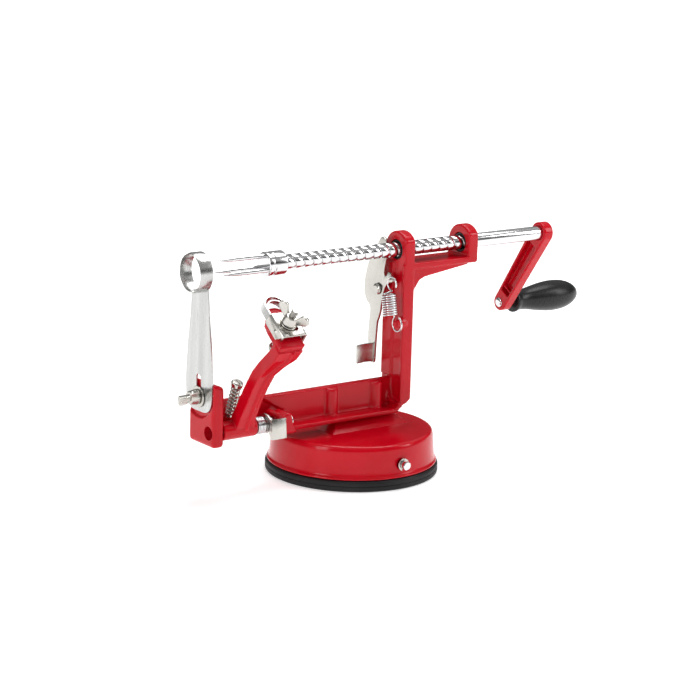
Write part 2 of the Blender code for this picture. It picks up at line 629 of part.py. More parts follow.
def make_peeler_arm():
    """Cast arm from the hub on the rod up to the pad behind the blade."""
    arm = rod("peeler_arm", HUB_R, (HUB_X[0], ROD_Y, ROD_Z), (HUB_X[1], ROD_Y, ROD_Z), red_paint("peeler_arm"), edge=0.6)
    bar = [(-90.5, -79.0, -8.2, 41.0, -14.4, 38.5), (-89.5, -79.0, -15.6, 57.1, -22.6, 54.5)]
    bar += [(-88.5, -78.0, -25.0, 73.6, -32.6, 72.4), (-87.0, -73.0, -36.0, 85.6, -42.0, 80.8)]
    bar += [(-86.0, -69.5, -43.6, 92.6, -46.4, 87.4)]
    limb = soften(slab("limb", bar), 1.2)
    deep = 6.0
    along = Vector((0, 0.8, 0.6))
    normal = Vector((0, 0.62, -0.785))
    seat = Vector((0, -46.2, 95.2)) + normal * 7.4
    pad = []
    for distance, width in ((0.0, 8.0), (14.0, 8.0), (20.0, 5.4)):
        for side, depth in ((-1, 0), (1, 0), (1, deep), (-1, deep)):
            at = seat + along * distance + normal * (0.4 + depth * (1.0 if distance < 20 else 0.55))
            pad.append((-77.0 + side * width, at.y, at.z))
    faces = [(3, 2, 1, 0), (8, 9, 10, 11)]
    for ring in range(2):
        low = ring * 4
        faces += [(low + i, low + (i + 1) % 4, low + 4 + (i + 1) % 4, low + 4 + i) for i in range(4)]
    join(arm, limb, soften(add_mesh("head", pad, faces, None), 1.0))
    cut(arm, rod("hole", ROD_R + GAP, (-110, ROD_Y, ROD_Z), (-60, ROD_Y, ROD_Z), segments=28))
    cut(arm, clamp_line_rod("hole", THREAD_BOLT_R + GAP, -16, 12))
    smooth(arm)
    return hang_on(arm, (0, ROD_Y, ROD_Z))


CLAMP_UP = Vector((0, -0.62, 0.785))
CLAMP_ALONG = Vector((0, 0.785, 0.62))
CLAMP_CENTRE = Vector((BOLT_X, -39.6, 101.6))


def clamp_line_rod(name, radius, low, high, material=None, edge=0.0):
    """A round piece on the clamp bolt's line, between two heights above the clamp's top face."""
    return rod(name, radius, CLAMP_CENTRE + CLAMP_UP * low, CLAMP_CENTRE + CLAMP_UP * high, material, 24, edge)


def clamp_box(name, x_span, along, up, material=None):
    """A block set square to the blade clamp: along it, and up from its top face."""
    points = []
    for u in up:
        for a, x in ((along[0], x_span[0]), (along[0], x_span[1]), (along[1], x_span[1]), (along[1], x_span[0])):
            at = CLAMP_CENTRE + CLAMP_ALONG * a + CLAMP_UP * u
            points.append((x, at.y, at.z))
    faces = [(3, 2, 1, 0), (4, 5, 6, 7)] + [(i, (i + 1) % 4, 4 + (i + 1) % 4, 4 + i) for i in range(4)]
    return add_mesh(name, points, faces, material)


def make_blade_clamp():
    """Bent channel that presses the blade on the arm's head."""
    clamp = clamp_box("blade_clamp", CLAMP_X, (-8.3, 8.3), (-7.0, 0), plated_steel("blade_clamp"))
    inner = (CLAMP_X[0] + 1.2, CLAMP_X[1] - 1.2)
    cut(clamp, clamp_box("channel", inner, (-20, 20), (-12, -1.2)))
    cut(clamp, clamp_line_rod("hole", THREAD_BOLT_R + GAP, -6, 4))
    return clamp


def make_peeling_blade():
    """Bent strip: two legs under the clamp and a cutting loop in front of it."""
    outer = 5.9
    thick = 0.8
    centre_x = (CLAMP_X[0] + CLAMP_X[1]) / 2
    reach = 20.0
    loop = [(-6.0, outer)] + [(reach - outer + x, y) for x, y in arc((0, 0), outer, 90, -90, 12)] + [(-6.0, -outer)]
    inside = [(-6.0, -outer + thick)]
    inside += [(reach - outer + x, y) for x, y in arc((0, 0), outer - thick, -90, 90, 12)] + [(-6.0, outer - thick)]
    outline = loop + inside
    points = []
    for u in (-5.6, -1.6):
        for a, x in outline:
            at = CLAMP_CENTRE + CLAMP_ALONG * a + CLAMP_UP * u
            points.append((centre_x + x, at.y, at.z))
    count = len(outline)
    faces = [tuple(range(count))[::-1], tuple(range(count, 2 * count))]
    faces += [(i, (i + 1) % count, count + (i + 1) % count, count + i) for i in range(count)]
    return add_mesh("peeling_blade", points, faces, bright_steel("peeling_blade"))


def wings(name, spread, height, thick):
    """The two ears of a wing nut, standing along Z."""
    outline = [(-2.5, 0.6)] + arc((-spread, height), 2.6, 240, 60, 8) + [(-2.2, height - 1.6), (2.2, height - 1.6)]
    outline += arc((spread, height), 2.6, 120, -60, 8) + [(2.5, 0.6)]
    return prism(name, outline, "Y", (-thick / 2, thick / 2))


def make_wing_nut(name, place, hang):
    """Stamped wing nut, made upright at the origin and then placed."""
    profile = [(THREAD_BOLT_R + GAP, 0), (4.2, 0), (3.6, 4.4), (THREAD_BOLT_R + GAP, 4.4)]
    nut = turned(name, profile, (0, 0, 0), (0, 0, 1), plated_steel(name), 24)
    ears = wings("ears", 7.2, 5.4, 1.6)
    cut(ears, rod("core", 3.0, (0, 0, -3), (0, 0, 12), segments=24))
    join(nut, ears)
    nut.data.transform(place)
    smooth(nut)
    return hang_on(nut, hang)


def clamp_frame(height, spin):
    """Places an upright piece on the clamp bolt's line."""
    turn = Vector((0, 0, 1)).rotation_difference(CLAMP_UP).to_matrix().to_4x4()
    at = (CLAMP_CENTRE + CLAMP_UP * height) * MM
    return Matrix.Translation(at) @ turn @ Matrix.Rotation(math.radians(spin), 4, "Z")


def make_clamp_bolt():
    """Bolt from behind the arm's head up through the blade's legs and the clamp."""
    length = 30.0
    profile = [(0, -2.2), (3.4, -2.2), (3.4, 0), (THREAD_BOLT_R, 0), (THREAD_BOLT_R, length - 0.5)]
    profile += [(THREAD_BOLT_R - 0.5, length), (0, length)]
    start = CLAMP_CENTRE - CLAMP_UP * 18.8
    return turned("clamp_bolt", profile, start, CLAMP_UP, plated_steel("clamp_bolt"), 20)


def make_washer(name, start, direction, radius):
    profile = [(THREAD_BOLT_R + GAP, 0), (radius, 0), (radius, 0.8), (THREAD_BOLT_R + GAP, 0.8)]
    return turned(name, profile, start, direction, plated_steel(name), 24)


def make_arm_spring():
    """Torsion spring closed up on the rod beside the arm."""
    return_r = ROD_R + 0.9
    path = []
    turns = 4
    for step in range(turns * 12 + 1):
        angle = 2 * math.pi * step / 12
        x = -75.2 + 5.2 * step / (turns * 12)
        path.append((x, ROD_Y + return_r * math.cos(angle), ROD_Z + return_r * math.sin(angle)))
    return sweep("arm_spring", path, 0.55, bright_steel("arm_spring"), 5)


def make_arm_catch():
    """Sprung steel catch on the rod with a thumb tab."""
    outline = arc((ROD_Y, ROD_Z), 6.2, 20, 110, 6) + [(-16.6, 42.0), (-18.4, 31.0), (-17.0, 30.6), (-14.6, 35.0)]
    outline += arc((ROD_Y, ROD_Z), 5.0, 210, 380, 10)[1:]
    catch = prism("arm_catch", outline, "X", (-68.9, -67.6), plated_steel("arm_catch"))
    cut(catch, rod("hole", ROD_R + GAP, (-72, ROD_Y, ROD_Z), (-64, ROD_Y, ROD_Z), segments=28))
    tab = [(-17.9, 42.2), (-16.8, 42.2), (-18.0, 31.0), (-19.1, 31.0)]
    join(catch, prism("tab", tab, "X", (-68.9, -59.4)))
    return hang_on(catch, (-68.2, ROD_Y, ROD_Z))


# ---------------------------------------------------------------- depth screw

STOP_X = -86.9
STOP_TOP = Vector((STOP_X, -10.2, 64.9))
STOP_DOWN = Vector((0, 0.348, -0.9375))


def stop_line_rod(name, radius, start, end, material=None, edge=0.0):
    """A round piece on the depth screw's line, between two distances below its head."""
    return rod(name, radius, STOP_TOP + STOP_DOWN * start, STOP_TOP + STOP_DOWN * end, material, 20, edge)


def make_stop_boss():
    return stop_line_rod("stop_boss", 3.2, 22.5, 36.0)


def make_stop_screw():
    """Screw that sets how deep the arm can lean in."""
    profile = [(0, 0), (2.6, 0), (3.4, 0.8), (3.4, 3.0), (1.6, 3.0), (1.6, 28.0), (0, 28.8)]
    screw = turned("depth_screw", profile, STOP_TOP, STOP_DOWN, plated_steel("depth_screw"), 20)
    slot = prism("slot", [(-0.5, -6), (0.5, -6), (0.5, 6), (-0.5, 6)], "Z", (-3, 0.9))
    turn = Vector((0, 0, 1)).rotation_difference(STOP_DOWN).to_matrix().to_4x4()
    slot.data.transform(Matrix.Translation(STOP_TOP * MM) @ turn)
    return cut(screw, slot)


def make_stop_spring():
    """Small compression spring under the depth screw's head."""
    across = Vector((1, 0, 0))
    other = STOP_DOWN.cross(across)
    path = []
    turns = 7
    for step in range(turns * 10 + 1):
        angle = 2 * math.pi * step / 10
        centre = STOP_TOP + STOP_DOWN * (3.9 + 17.6 * step / (turns * 10))
        path.append(centre + 2.5 * (math.cos(angle) * across + math.sin(angle) * other))
    return sweep("depth_spring", path, 0.5, plated_steel("depth_spring"), 5)


# ---------------------------------------------------------------- corer and slicer

def make_corer_strap():
    """Slotted steel strap whose upper end is a ring that cuts out the core."""
    outer = CORER_R + 0.9
    foot = arc((0, 61.8), STRAP_HALF_WIDTH, 180, 360, 14)
    neck = math.radians(50)
    foot += [(11.6, 84.0), (outer * math.cos(neck), SHAFT_Z - outer * math.sin(neck))]
    foot += arc((0, SHAFT_Z), outer, -50, 230, 22)[1:]
    foot += [(-11.6, 84.0)]
    strap = prism("corer_strap", foot, "X", STRAP_X, bright_steel("corer_strap"))
    tube = turned("ring", [(CORER_R, -7.4), (outer, -6.4), (outer, 0.4), (CORER_R, 0.4)],
                  (STRAP_X[1], 0, SHAFT_Z), (1, 0, 0), segments=36)
    cut(strap, rod("bore", CORER_R + 0.3, (-120, 0, SHAFT_Z), (-90, 0, SHAFT_Z), segments=36))
    join(strap, tube)
    half = THREAD_BOLT_R + 0.4
    low = CORER_BOLT_Z - 2.4
    slot = arc((0, low), half, 180, 360, 8) + arc((0, 67.2), half, 0, 180, 8)
    cut(strap, prism("slot", slot, "X", (-110, -100)))
    return hang_on(strap, (STRAP_X[0], 0, CORER_BOLT_Z))


def make_corer_bolt():
    """Bolt from behind the block through the strap's slot."""
    x1 = BLOCK_X[1] + GAP
    profile = [(0, 0), (3.6, 0), (3.6, 2.2), (THREAD_BOLT_R, 2.2), (THREAD_BOLT_R, 21.8), (THREAD_BOLT_R - 0.5, 22.3)]
    profile += [(0, 22.3)]
    return turned("corer_bolt", profile, (x1 + 2.2, 0, CORER_BOLT_Z), (-1, 0, 0), plated_steel("corer_bolt"), 20)


def corer_frame():
    """Places an upright wing nut on the corer bolt, its wings leaning across the strap."""
    at = Vector((STRAP_X[0] - GAP - 0.8 - GAP, 0, CORER_BOLT_Z)) * MM
    turn = Matrix.Rotation(math.radians(-90), 4, "Y")
    return Matrix.Translation(at) @ turn @ Matrix.Rotation(math.radians(125), 4, "Z")


def main():
    clear_scene()
    make_suction_pad()
    make_suction_dome()
    make_cam_shaft()
    make_cam_clip()
    make_suction_lever()
    make_lift_stud()
    for name, x in zip(("base_screw_front", "base_screw_rear"), SCREW_X):
        make_base_screw(name, x)
    make_frame()
    make_bush("bush_front", COLUMN_X)
    make_bush("bush_rear", REAR_HEAD_X)
    make_shaft()
    make_fork()
    make_crank()
    make_spindle()
    make_grip()
    make_release_lever()
    make_lever_screw()
    make_release_spring()
    make_pivot_rod()
    make_peeler_arm()
    make_blade_clamp()
    make_peeling_blade()
    make_clamp_bolt()
    make_washer("clamp_washer", CLAMP_CENTRE + CLAMP_UP * GAP, CLAMP_UP, 4.6)
    make_wing_nut("clamp_wing_nut", clamp_frame(2 * GAP + 0.8, 117), CLAMP_CENTRE)
    make_arm_spring()
    make_arm_catch()
    make_stop_screw()
    make_stop_spring()
    make_corer_strap()
    make_corer_bolt()
    make_washer("corer_washer", (STRAP_X[0] - GAP, 0, CORER_BOLT_Z), (-1, 0, 0), 6.0)
    make_wing_nut("corer_wing_nut", corer_frame(), (STRAP_X[0], 0, CORER_BOLT_Z))


main()
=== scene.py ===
import json
import math

import bmesh
import bpy
from mathutils import Matrix, Vector


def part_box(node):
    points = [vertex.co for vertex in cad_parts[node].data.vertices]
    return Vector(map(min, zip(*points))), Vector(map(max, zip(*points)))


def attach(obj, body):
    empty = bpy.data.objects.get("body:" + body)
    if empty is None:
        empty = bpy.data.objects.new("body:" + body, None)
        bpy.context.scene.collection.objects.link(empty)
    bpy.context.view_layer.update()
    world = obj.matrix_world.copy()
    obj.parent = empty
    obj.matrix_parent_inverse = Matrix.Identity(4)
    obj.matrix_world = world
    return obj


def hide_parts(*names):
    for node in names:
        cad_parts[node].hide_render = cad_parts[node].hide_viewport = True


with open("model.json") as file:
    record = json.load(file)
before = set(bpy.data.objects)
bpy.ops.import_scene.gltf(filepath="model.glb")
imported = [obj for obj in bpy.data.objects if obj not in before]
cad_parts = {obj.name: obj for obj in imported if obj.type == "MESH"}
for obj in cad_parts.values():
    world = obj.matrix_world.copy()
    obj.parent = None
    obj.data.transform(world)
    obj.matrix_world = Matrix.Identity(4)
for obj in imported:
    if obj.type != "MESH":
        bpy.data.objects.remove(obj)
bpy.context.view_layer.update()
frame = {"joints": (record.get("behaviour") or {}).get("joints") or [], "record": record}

# ------------------------------------------------------------------ suction pad
# Moulded black rubber disc, 100 mm across, that grips the table. Its thick rim
# carries the dome, and the mould has left a fine grain and a parting line.

MM = 0.001


def solid(name, points, faces):
    """A mesh from points in millimetres, its faces turned outwards."""
    mesh = bpy.data.meshes.new(name)
    work = bmesh.new()
    corners = [work.verts.new(Vector(point) * MM) for point in points]
    for face in faces:
        work.faces.new([corners[index] for index in face])
    bmesh.ops.recalc_face_normals(work, faces=work.faces)
    work.to_mesh(mesh)
    work.free()
    obj = bpy.data.objects.new(name, mesh)
    bpy.context.scene.collection.objects.link(obj)
    return obj


def smooth(obj, angle=40):
    """Soft shading, with edges sharper than the angle left crisp."""
    obj.data.shade_smooth()
    obj.data.set_sharp_from_angle(angle=math.radians(angle))
    return obj


def rounded(profile, radius, steps=4):
    """The same outline with each inner corner of an open profile turned into a small arc."""
    line = [Vector(point) for point in profile]
    result = [line[0]]
    for before, corner, after in zip(line, line[1:], line[2:]):
        back = before - corner
        forth = after - corner
        reach = min(radius, back.length * 0.45, forth.length * 0.45)
        start = corner + back.normalized() * reach
        end = corner + forth.normalized() * reach
        for step in range(steps + 1):
            t = step / steps
            result.append(start * (1 - t) ** 2 + corner * 2 * t * (1 - t) + end * t * t)
    return [tuple(point) for point in result] + [tuple(line[-1])]


def turned(name, profile, origin, direction, segments=96, angle=40):
    """A (radius, height) profile turned about a line. Radius 0 at both ends closes it there."""
    turn = Vector((0, 0, 1)).rotation_difference(Vector(direction)).to_matrix()
    points = []
    rings = []
    for radius, height in profile:
        count = 1 if radius < 1e-6 else segments
        rings.append(range(len(points), len(points) + count))
        for step in range(count):
            a = 2 * math.pi * step / segments
            local = Vector((radius * math.cos(a), radius * math.sin(a), height))
            points.append(Vector(origin) + turn @ local)
    faces = []
    pairs = list(zip(rings, rings[1:]))
    if profile[0][0] > 1e-6:
        pairs.append((rings[-1], rings[0]))
    for low, high in pairs:
        for step in range(segments):
            after = (step + 1) % segments
            corners = [ring[index % len(ring)] for ring, index in
                       ((low, step), (low, after), (high, after), (high, step))]
            faces.append(list(dict.fromkeys(corners)))
    return smooth(solid(name, points, faces), angle)


def surface(name, tones, metallic, rough, grain, relief,
            stretch=(1, 1, 1), coat=0.0, specks=0.0, shine=0.5):
    """A finish with drifting colour, uneven gloss, a fine grain and a few specks of dust."""
    material = bpy.data.materials.new(name)
    material.use_nodes = True
    nodes = material.node_tree.nodes
    links = material.node_tree.links
    shader = nodes["Principled BSDF"]
    shader.inputs["Metallic"].default_value = metallic
    shader.inputs["Coat Weight"].default_value = coat
    shader.inputs["Coat Roughness"].default_value = 0.06
    shader.inputs["Specular IOR Level"].default_value = shine
    place = nodes.new("ShaderNodeTexCoord")
    scale = nodes.new("ShaderNodeMapping")
    scale.inputs["Scale"].default_value = stretch
    links.new(place.outputs["Object"], scale.inputs["Vector"])

    def noise(frequency, detail):
        node = nodes.new("ShaderNodeTexNoise")
        node.inputs["Scale"].default_value = frequency
        node.inputs["Detail"].default_value = detail
        links.new(scale.outputs["Vector"], node.inputs["Vector"])
        return node

    broad = noise(38, 3)
    fine = noise(grain, 4)
    tone = nodes.new("ShaderNodeValToRGB")
    tone.color_ramp.elements[0].position = 0.3
    tone.color_ramp.elements[1].position = 0.7
    tone.color_ramp.elements[0].color = (*tones[0], 1)
    tone.color_ramp.elements[1].color = (*tones[1], 1)
    links.new(broad.outputs["Fac"], tone.inputs["Fac"])
    dust = noise(grain * 0.6, 2)
    few = nodes.new("ShaderNodeMapRange")
    few.inputs["From Min"].default_value = 0.70
    few.inputs["From Max"].default_value = 0.78
    few.inputs["To Max"].default_value = specks
    links.new(dust.outputs["Fac"], few.inputs["Value"])
    mix = nodes.new("ShaderNodeMix")
    mix.data_type = "RGBA"
    mix.inputs["B"].default_value = (0.55, 0.52, 0.5, 1)
    links.new(few.outputs["Result"], mix.inputs["Factor"])
    links.new(tone.outputs["Color"], mix.inputs["A"])
    links.new(mix.outputs["Result"], shader.inputs["Base Color"])
    gloss = nodes.new("ShaderNodeMapRange")
    gloss.inputs["From Min"].default_value = 0.3
    gloss.inputs["From Max"].default_value = 0.7
    gloss.inputs["To Min"].default_value = rough[0]
    gloss.inputs["To Max"].default_value = rough[1]
    links.new(fine.outputs["Fac"], gloss.inputs["Value"])
    links.new(gloss.outputs["Result"], shader.inputs["Roughness"])
    bump = nodes.new("ShaderNodeBump")
    bump.inputs["Strength"].default_value = relief
    bump.inputs["Distance"].default_value = 0.0002
    links.new(fine.outputs["Fac"], bump.inputs["Height"])
    links.new(bump.outputs["Normal"], shader.inputs["Normal"])
    return material


def fit(piece, material, body, slot, *nodes):
    """Paints a piece, lets it ride on its body and stand for its plain solids."""
    piece.data.materials.clear()
    piece.data.materials.append(material)
    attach(piece, body)
    if nodes:
        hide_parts(*nodes)
    return piece


rubber = surface("pad_rubber", ((0.010, 0.010, 0.011), (0.022, 0.022, 0.023)), 0.0,
                 (0.45, 0.62), 1400, 0.2, specks=0.02, shine=0.2)
pad_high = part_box("suction_pad")[1]
pad_r = pad_high.x / MM
pad_top = pad_high.z / MM
pad_profile = [(0, 0), (pad_r - 0.6, 0), (pad_r, 0.9), (pad_r, 2.9), (pad_r - 0.35, 3.1), (pad_r, 3.3)]
pad_profile += [(pad_r, pad_top - 0.9), (pad_r - 0.9, pad_top), (pad_r - 6, pad_top)]
pad_profile += [(pad_r - 7.5, 2.5), (0, 2.5)]
pad = turned("rubber_pad", rounded(pad_profile, 0.7, 3), (0, 0, 0), (0, 0, 1), 160)
fit(pad, rubber, "base", "pad_rubber", "suction_pad")

# ------------------------------------------------------------------ suction dome
# Drawn steel dome, painted glossy red. Its lip rolls out over the rubber, and a
# raised saddle on its top carries the frame. The cam shaft passes through its wall.


def arc(centre, radius, start, end, steps):
    """Points on a circle, from one angle in degrees to another."""
    angles = [math.radians(start + (end - start) * step / steps) for step in range(steps + 1)]
    return [(centre[0] + radius * math.cos(a), centre[1] + radius * math.sin(a)) for a in angles]


def prism(name, outline, axis, span):
    """An outline pushed along an axis: (y, z) across X, (x, z) across Y, (x, y) across Z."""
    place = {
        "X": lambda a, b, h: (h, a, b),
        "Y": lambda a, b, h: (a, h, b),
        "Z": lambda a, b, h: (a, b, h),
    }[axis]
    count = len(outline)
    points = [place(a, b, h) for h in span for a, b in outline]
    sides = [(i, (i + 1) % count, count + (i + 1) % count, count + i) for i in range(count)]
    ends = [tuple(range(count))[::-1], tuple(range(count, 2 * count))]
    return solid(name, points, sides + ends)


def rod(name, radius, start, end, segments=48):
    """A plain round bar between two points."""
    line = Vector(end) - Vector(start)
    profile = [(0, 0), (radius, 0), (radius, line.length), (0, line.length)]
    return turned(name, profile, start, line.normalized(), segments)


def settle(obj):
    """Keeps what the object's modifiers make of its mesh."""
    bpy.context.view_layer.update()
    graph = bpy.context.evaluated_depsgraph_get()
    made = bpy.data.meshes.new_from_object(obj.evaluated_get(graph))
    obj.modifiers.clear()
    obj.data = made
    return obj


def combine(obj, tool, operation):
    """Joins or cuts one solid with another, which is used up."""
    modifier = obj.modifiers.new("Shape", "BOOLEAN")
    modifier.operation = operation
    modifier.solver = "EXACT"
    modifier.object = tool
    settle(obj)
    bpy.data.objects.remove(tool)
    return obj


def weld(obj, *tools):
    for tool in tools:
        combine(obj, tool, "UNION")
    return obj


def carve(obj, *tools):
    for tool in tools:
        combine(obj, tool, "DIFFERENCE")
    return obj


def soften(obj, width, segments=3, angle=30):
    """Breaks the edges of a block."""
    modifier = obj.modifiers.new("Edges", "BEVEL")
    modifier.width = width * MM
    modifier.segments = segments
    modifier.limit_method = "ANGLE"
    modifier.angle_limit = math.radians(angle)
    return settle(obj)


def merge(obj, *others):
    """Puts the blocks of a casting into one object. They still overlap."""
    work = bmesh.new()
    for piece in (obj, *others):
        work.from_mesh(piece.data)
    work.to_mesh(obj.data)
    work.free()
    for piece in others:
        bpy.data.objects.remove(piece)
    return obj


def cast(obj, grain, passes=3):
    """Runs the merged blocks together as a casting does, with small fillets everywhere."""
    skin = obj.modifiers.new("Skin", "REMESH")
    skin.mode = "VOXEL"
    skin.voxel_size = grain * MM
    relax = obj.modifiers.new("Relax", "SMOOTH")
    relax.factor = 0.5
    relax.iterations = passes
    settle(obj)
    obj.data.shade_smooth()
    return obj


red = surface("red_paint", ((0.50, 0.001, 0.008), (0.58, 0.002, 0.013)), 0.0,
              (0.14, 0.22), 260, 0.03, coat=0.1, shine=0.2)
joints = {joint["name"]: joint for joint in frame["joints"]}
dome_low, dome_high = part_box("suction_dome")
saddle_top = dome_high.z / MM
dome_r = dome_high.x / MM
dome_lip = dome_low.z / MM
dome_top = 25.3
dome_wall = 2.0
ceiling = dome_top - dome_wall
dome_skin = [(0, ceiling), (dome_r - 6.2, ceiling), (dome_r - 4.9, dome_top - 4.0), (dome_r - 2.6, dome_lip)]
dome_skin += [(dome_r - 1.0, dome_lip), (dome_r, dome_lip + 0.2), (dome_r, dome_lip + 1.0)]
dome_skin += [(dome_r - 1.1, dome_lip + 2.0), (dome_r - 1.5, dome_lip + 4.5), (dome_r - 2.3, dome_top - 2.6)]
dome_skin += [(dome_r - 3.0, dome_top - 0.6), (dome_r - 4.6, dome_top), (0, dome_top)]
dome = turned("red_dome", rounded(dome_skin, 1.3, 5), (0, 0, 0), (0, 0, 1), 192, 60)
cam_z = joints["suction_lock"]["pos_m"][2] / MM
carve(dome, rod("hole", 3.3, (0, -60, cam_z), (0, 60, cam_z)))
fit(smooth(dome, 60), red, "base", "red_paint", "suction_dome")

foot = [(-22.0, -11.5), (32.0, -11.5), (32.0, 9.5), (-22.0, 9.5)]
crown = [(-14.0, -4.0), (27.0, -4.0), (27.0, 8.5), (-14.0, 8.5)]
levels = ((foot, dome_top - 0.8), (foot, dome_top), (crown, saddle_top - 1.0), (crown, saddle_top - 0.05))
points = [(x, y, z) for outline, z in levels for x, y in outline]
faces = [(3, 2, 1, 0), (12, 13, 14, 15)]
for ring in range(3):
    for side in range(4):
        a = ring * 4 + side
        b = ring * 4 + (side + 1) % 4
        faces.append((a, b, b + 4, a + 4))
saddle = smooth(soften(solid("dome_saddle", points, faces), 1.6, 5, 12), 60)
fit(saddle, red, "base", "red_paint")

# ------------------------------------------------------------------ suction lock
# A steel cam shaft crosses the dome. Its lobe lifts a stud on the rubber's centre
# when the lever behind the dome is turned over. A clip holds the shaft's near end.

plated = surface("plated_steel", ((0.50, 0.485, 0.445), (0.60, 0.585, 0.545)), 1.0,
                 (0.20, 0.28), 420, 0.02)
bright = surface("bright_steel", ((0.66, 0.66, 0.67), (0.76, 0.76, 0.77)), 1.0,
                 (0.10, 0.18), 500, 0.02, stretch=(0.25, 3, 3))
shaft_low, shaft_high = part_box("cam_shaft")
near = shaft_low.y / MM
far = shaft_high.y / MM
cam_profile = [(0, near), (2.1, near), (2.5, near + 0.4), (2.5, near + 3.2), (1.9, near + 3.2)]
cam_profile += [(1.9, near + 4.3), (2.5, near + 4.3), (2.5, far - 0.4), (2.1, far), (0, far)]
cam_shaft = turned("lock_shaft", cam_profile, (0, 0, cam_z), (0, 1, 0), 48)
lobe = turned("lobe", [(0, -3), (3.0, -3), (3.0, 3), (0, 3)], (0, 0, cam_z - 1), (0, 1, 0), 48)
fit(smooth(weld(cam_shaft, lobe)), bright, "lock_cam", "bright_steel", "cam_shaft")

clip = [(math.sin(math.radians(a)), -math.cos(math.radians(a))) for a in range(20, 341, 10)]
clip_outline = [(3.6 * x, cam_z + 3.6 * z) for x, z in clip]
clip_outline += [(2.15 * x, cam_z + 2.15 * z) for x, z in reversed(clip)]
cam_clip = soften(prism("lock_clip", clip_outline, "Y", (near + 3.5, near + 4.05)), 0.12, 2)
fit(smooth(cam_clip), plated, "lock_cam", "plated_steel", "cam_clip")

lever_low, lever_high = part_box("suction_lever")
lever_y = (lever_low.y / MM, lever_high.y / MM)
lever_outline = arc((0, cam_z), 6.0, 50, 310, 30) + [(14, cam_z - 2.9), (28, cam_z - 3.9)]
lever_outline += arc((34.0, cam_z), 4.6, -80, 80, 18) + [(28, cam_z + 3.9), (14, cam_z + 2.9)]
lock_lever = prism("lock_lever", lever_outline, "Y", lever_y)
carve(lock_lever, rod("hole", 2.6, (0, 40, cam_z), (0, 60, cam_z)))
dish = arc((22, cam_z), 1.4, 90, 270, 12) + arc((31, cam_z), 2.4, -90, 90, 12)
carve(lock_lever, prism("dish", dish, "Y", (lever_y[1] - 0.7, 60)))
fit(smooth(soften(lock_lever, 0.45)), plated, "lock_cam", "plated_steel", "suction_lever")

stud_low, stud_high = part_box("lift_stud")
foot_z = stud_low.z / MM
yoke_top = stud_high.z / MM
stud_profile = [(0, foot_z), (9, foot_z), (9, foot_z + 1.3), (3.5, foot_z + 1.9), (3.5, 8.2), (0, 8.2)]
stud = turned("pad_stud", rounded(stud_profile, 0.4), (0, 0, 0), (0, 0, 1), 64)
yoke = prism("yoke", [(-6.3, 7.5), (6.3, 7.5), (6.3, yoke_top), (-6.3, yoke_top)], "Y", (-2.4, 2.4))
carve(yoke, prism("window", [(-4.5, 9.1), (4.5, 9.1), (4.5, 16.9), (-4.5, 16.9)], "Y", (-9, 9)))
fit(smooth(weld(stud, yoke)), plated, "lock_stud", "plated_steel", "lift_stud")

# ------------------------------------------------------------------ base screws
# Two slotted screws from inside the dome up into the bosses on the beam. They are
# plated steel with rolled threads, and hold the frame down on the dome's saddle.


def thread(name, radius, pitch, depth, start, direction, length, segments=24):
    """A screw thread as stacked ridges on a core."""
    profile = [(0, 0), (radius - depth, 0)]
    turns = int(length / pitch)
    for ridge in range(turns):
        base = ridge * pitch
        profile += [(radius - depth, base + 0.10 * pitch), (radius, base + 0.45 * pitch)]
        profile += [(radius, base + 0.60 * pitch), (radius - depth, base + 0.95 * pitch)]
    profile += [(radius - depth, length), (0, length)]
    return turned(name, profile, start, direction, segments, 25)


for label in ("front", "rear"):
    low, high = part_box("base_screw_" + label)
    x, y = ((low + high) / 2 / MM).xy
    bottom = low.z / MM
    head_profile = [(0, bottom), (3.0, bottom), (3.8, bottom + 1.0), (3.8, bottom + 2.4)]
    head_profile += [(1.7, bottom + 2.4), (1.7, bottom + 3.4), (0, bottom + 3.4)]
    head = turned("frame_screw_" + label, rounded(head_profile, 0.4), (x, y, 0), (0, 0, 1), 48)
    weld(head, thread("shank", 1.9, 0.8, 0.35, (x, y, bottom + 3), (0, 0, 1), 22.6))
    slot = [(x - 2, bottom - 1), (x + 2, bottom - 1), (x + 2, bottom + 1), (x - 2, bottom + 1)]
    carve(head, prism("slot", slot, "Y", (y - 0.4, y + 0.4)))
    fit(smooth(head), plated, "base", "plated_steel", "base_screw_" + label)

# ------------------------------------------------------------------ frame casting
# One C-shaped aluminium casting in thick glossy red: front block, beam with its
# ledge and screw bosses, column, rear arm and the two heads that carry the shaft.

shaft_z = joints["crank_turn"]["pos_m"][2] / MM
rod_y, rod_z = (value / MM for value in joints["peeler_swing"]["pos_m"][1:])
pivot_y, pivot_z = (value / MM for value in joints["release_swing"]["pos_m"][1:])
block_low, frame_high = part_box("frame_casting")
block_left = block_low.x / MM
block_bottom = block_low.z / MM
frame_right = frame_high.x / MM
head_r = 10.7
wall = (-9.2, 10.7)
column = (28.3, 35.3)
rear = (frame_right - 7.0, frame_right)
beam = (31.3, 50.5)
web = (0.8, 4.8)
screw_x = [sum(corner.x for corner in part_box("base_screw_" + label)) / 2 / MM for label in ("front", "rear")]
bush_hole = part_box("bush_front")[1].y / MM + 0.25
front_face = math.degrees(math.acos(wall[0] / head_r))
head_top = arc((0, shaft_z), head_r, 0, front_face, 40)


def head_shape(low):
    """A flat wall from a given height up to the round head about the shaft."""
    return [(wall[1], low)] + head_top + [(wall[0], low)]


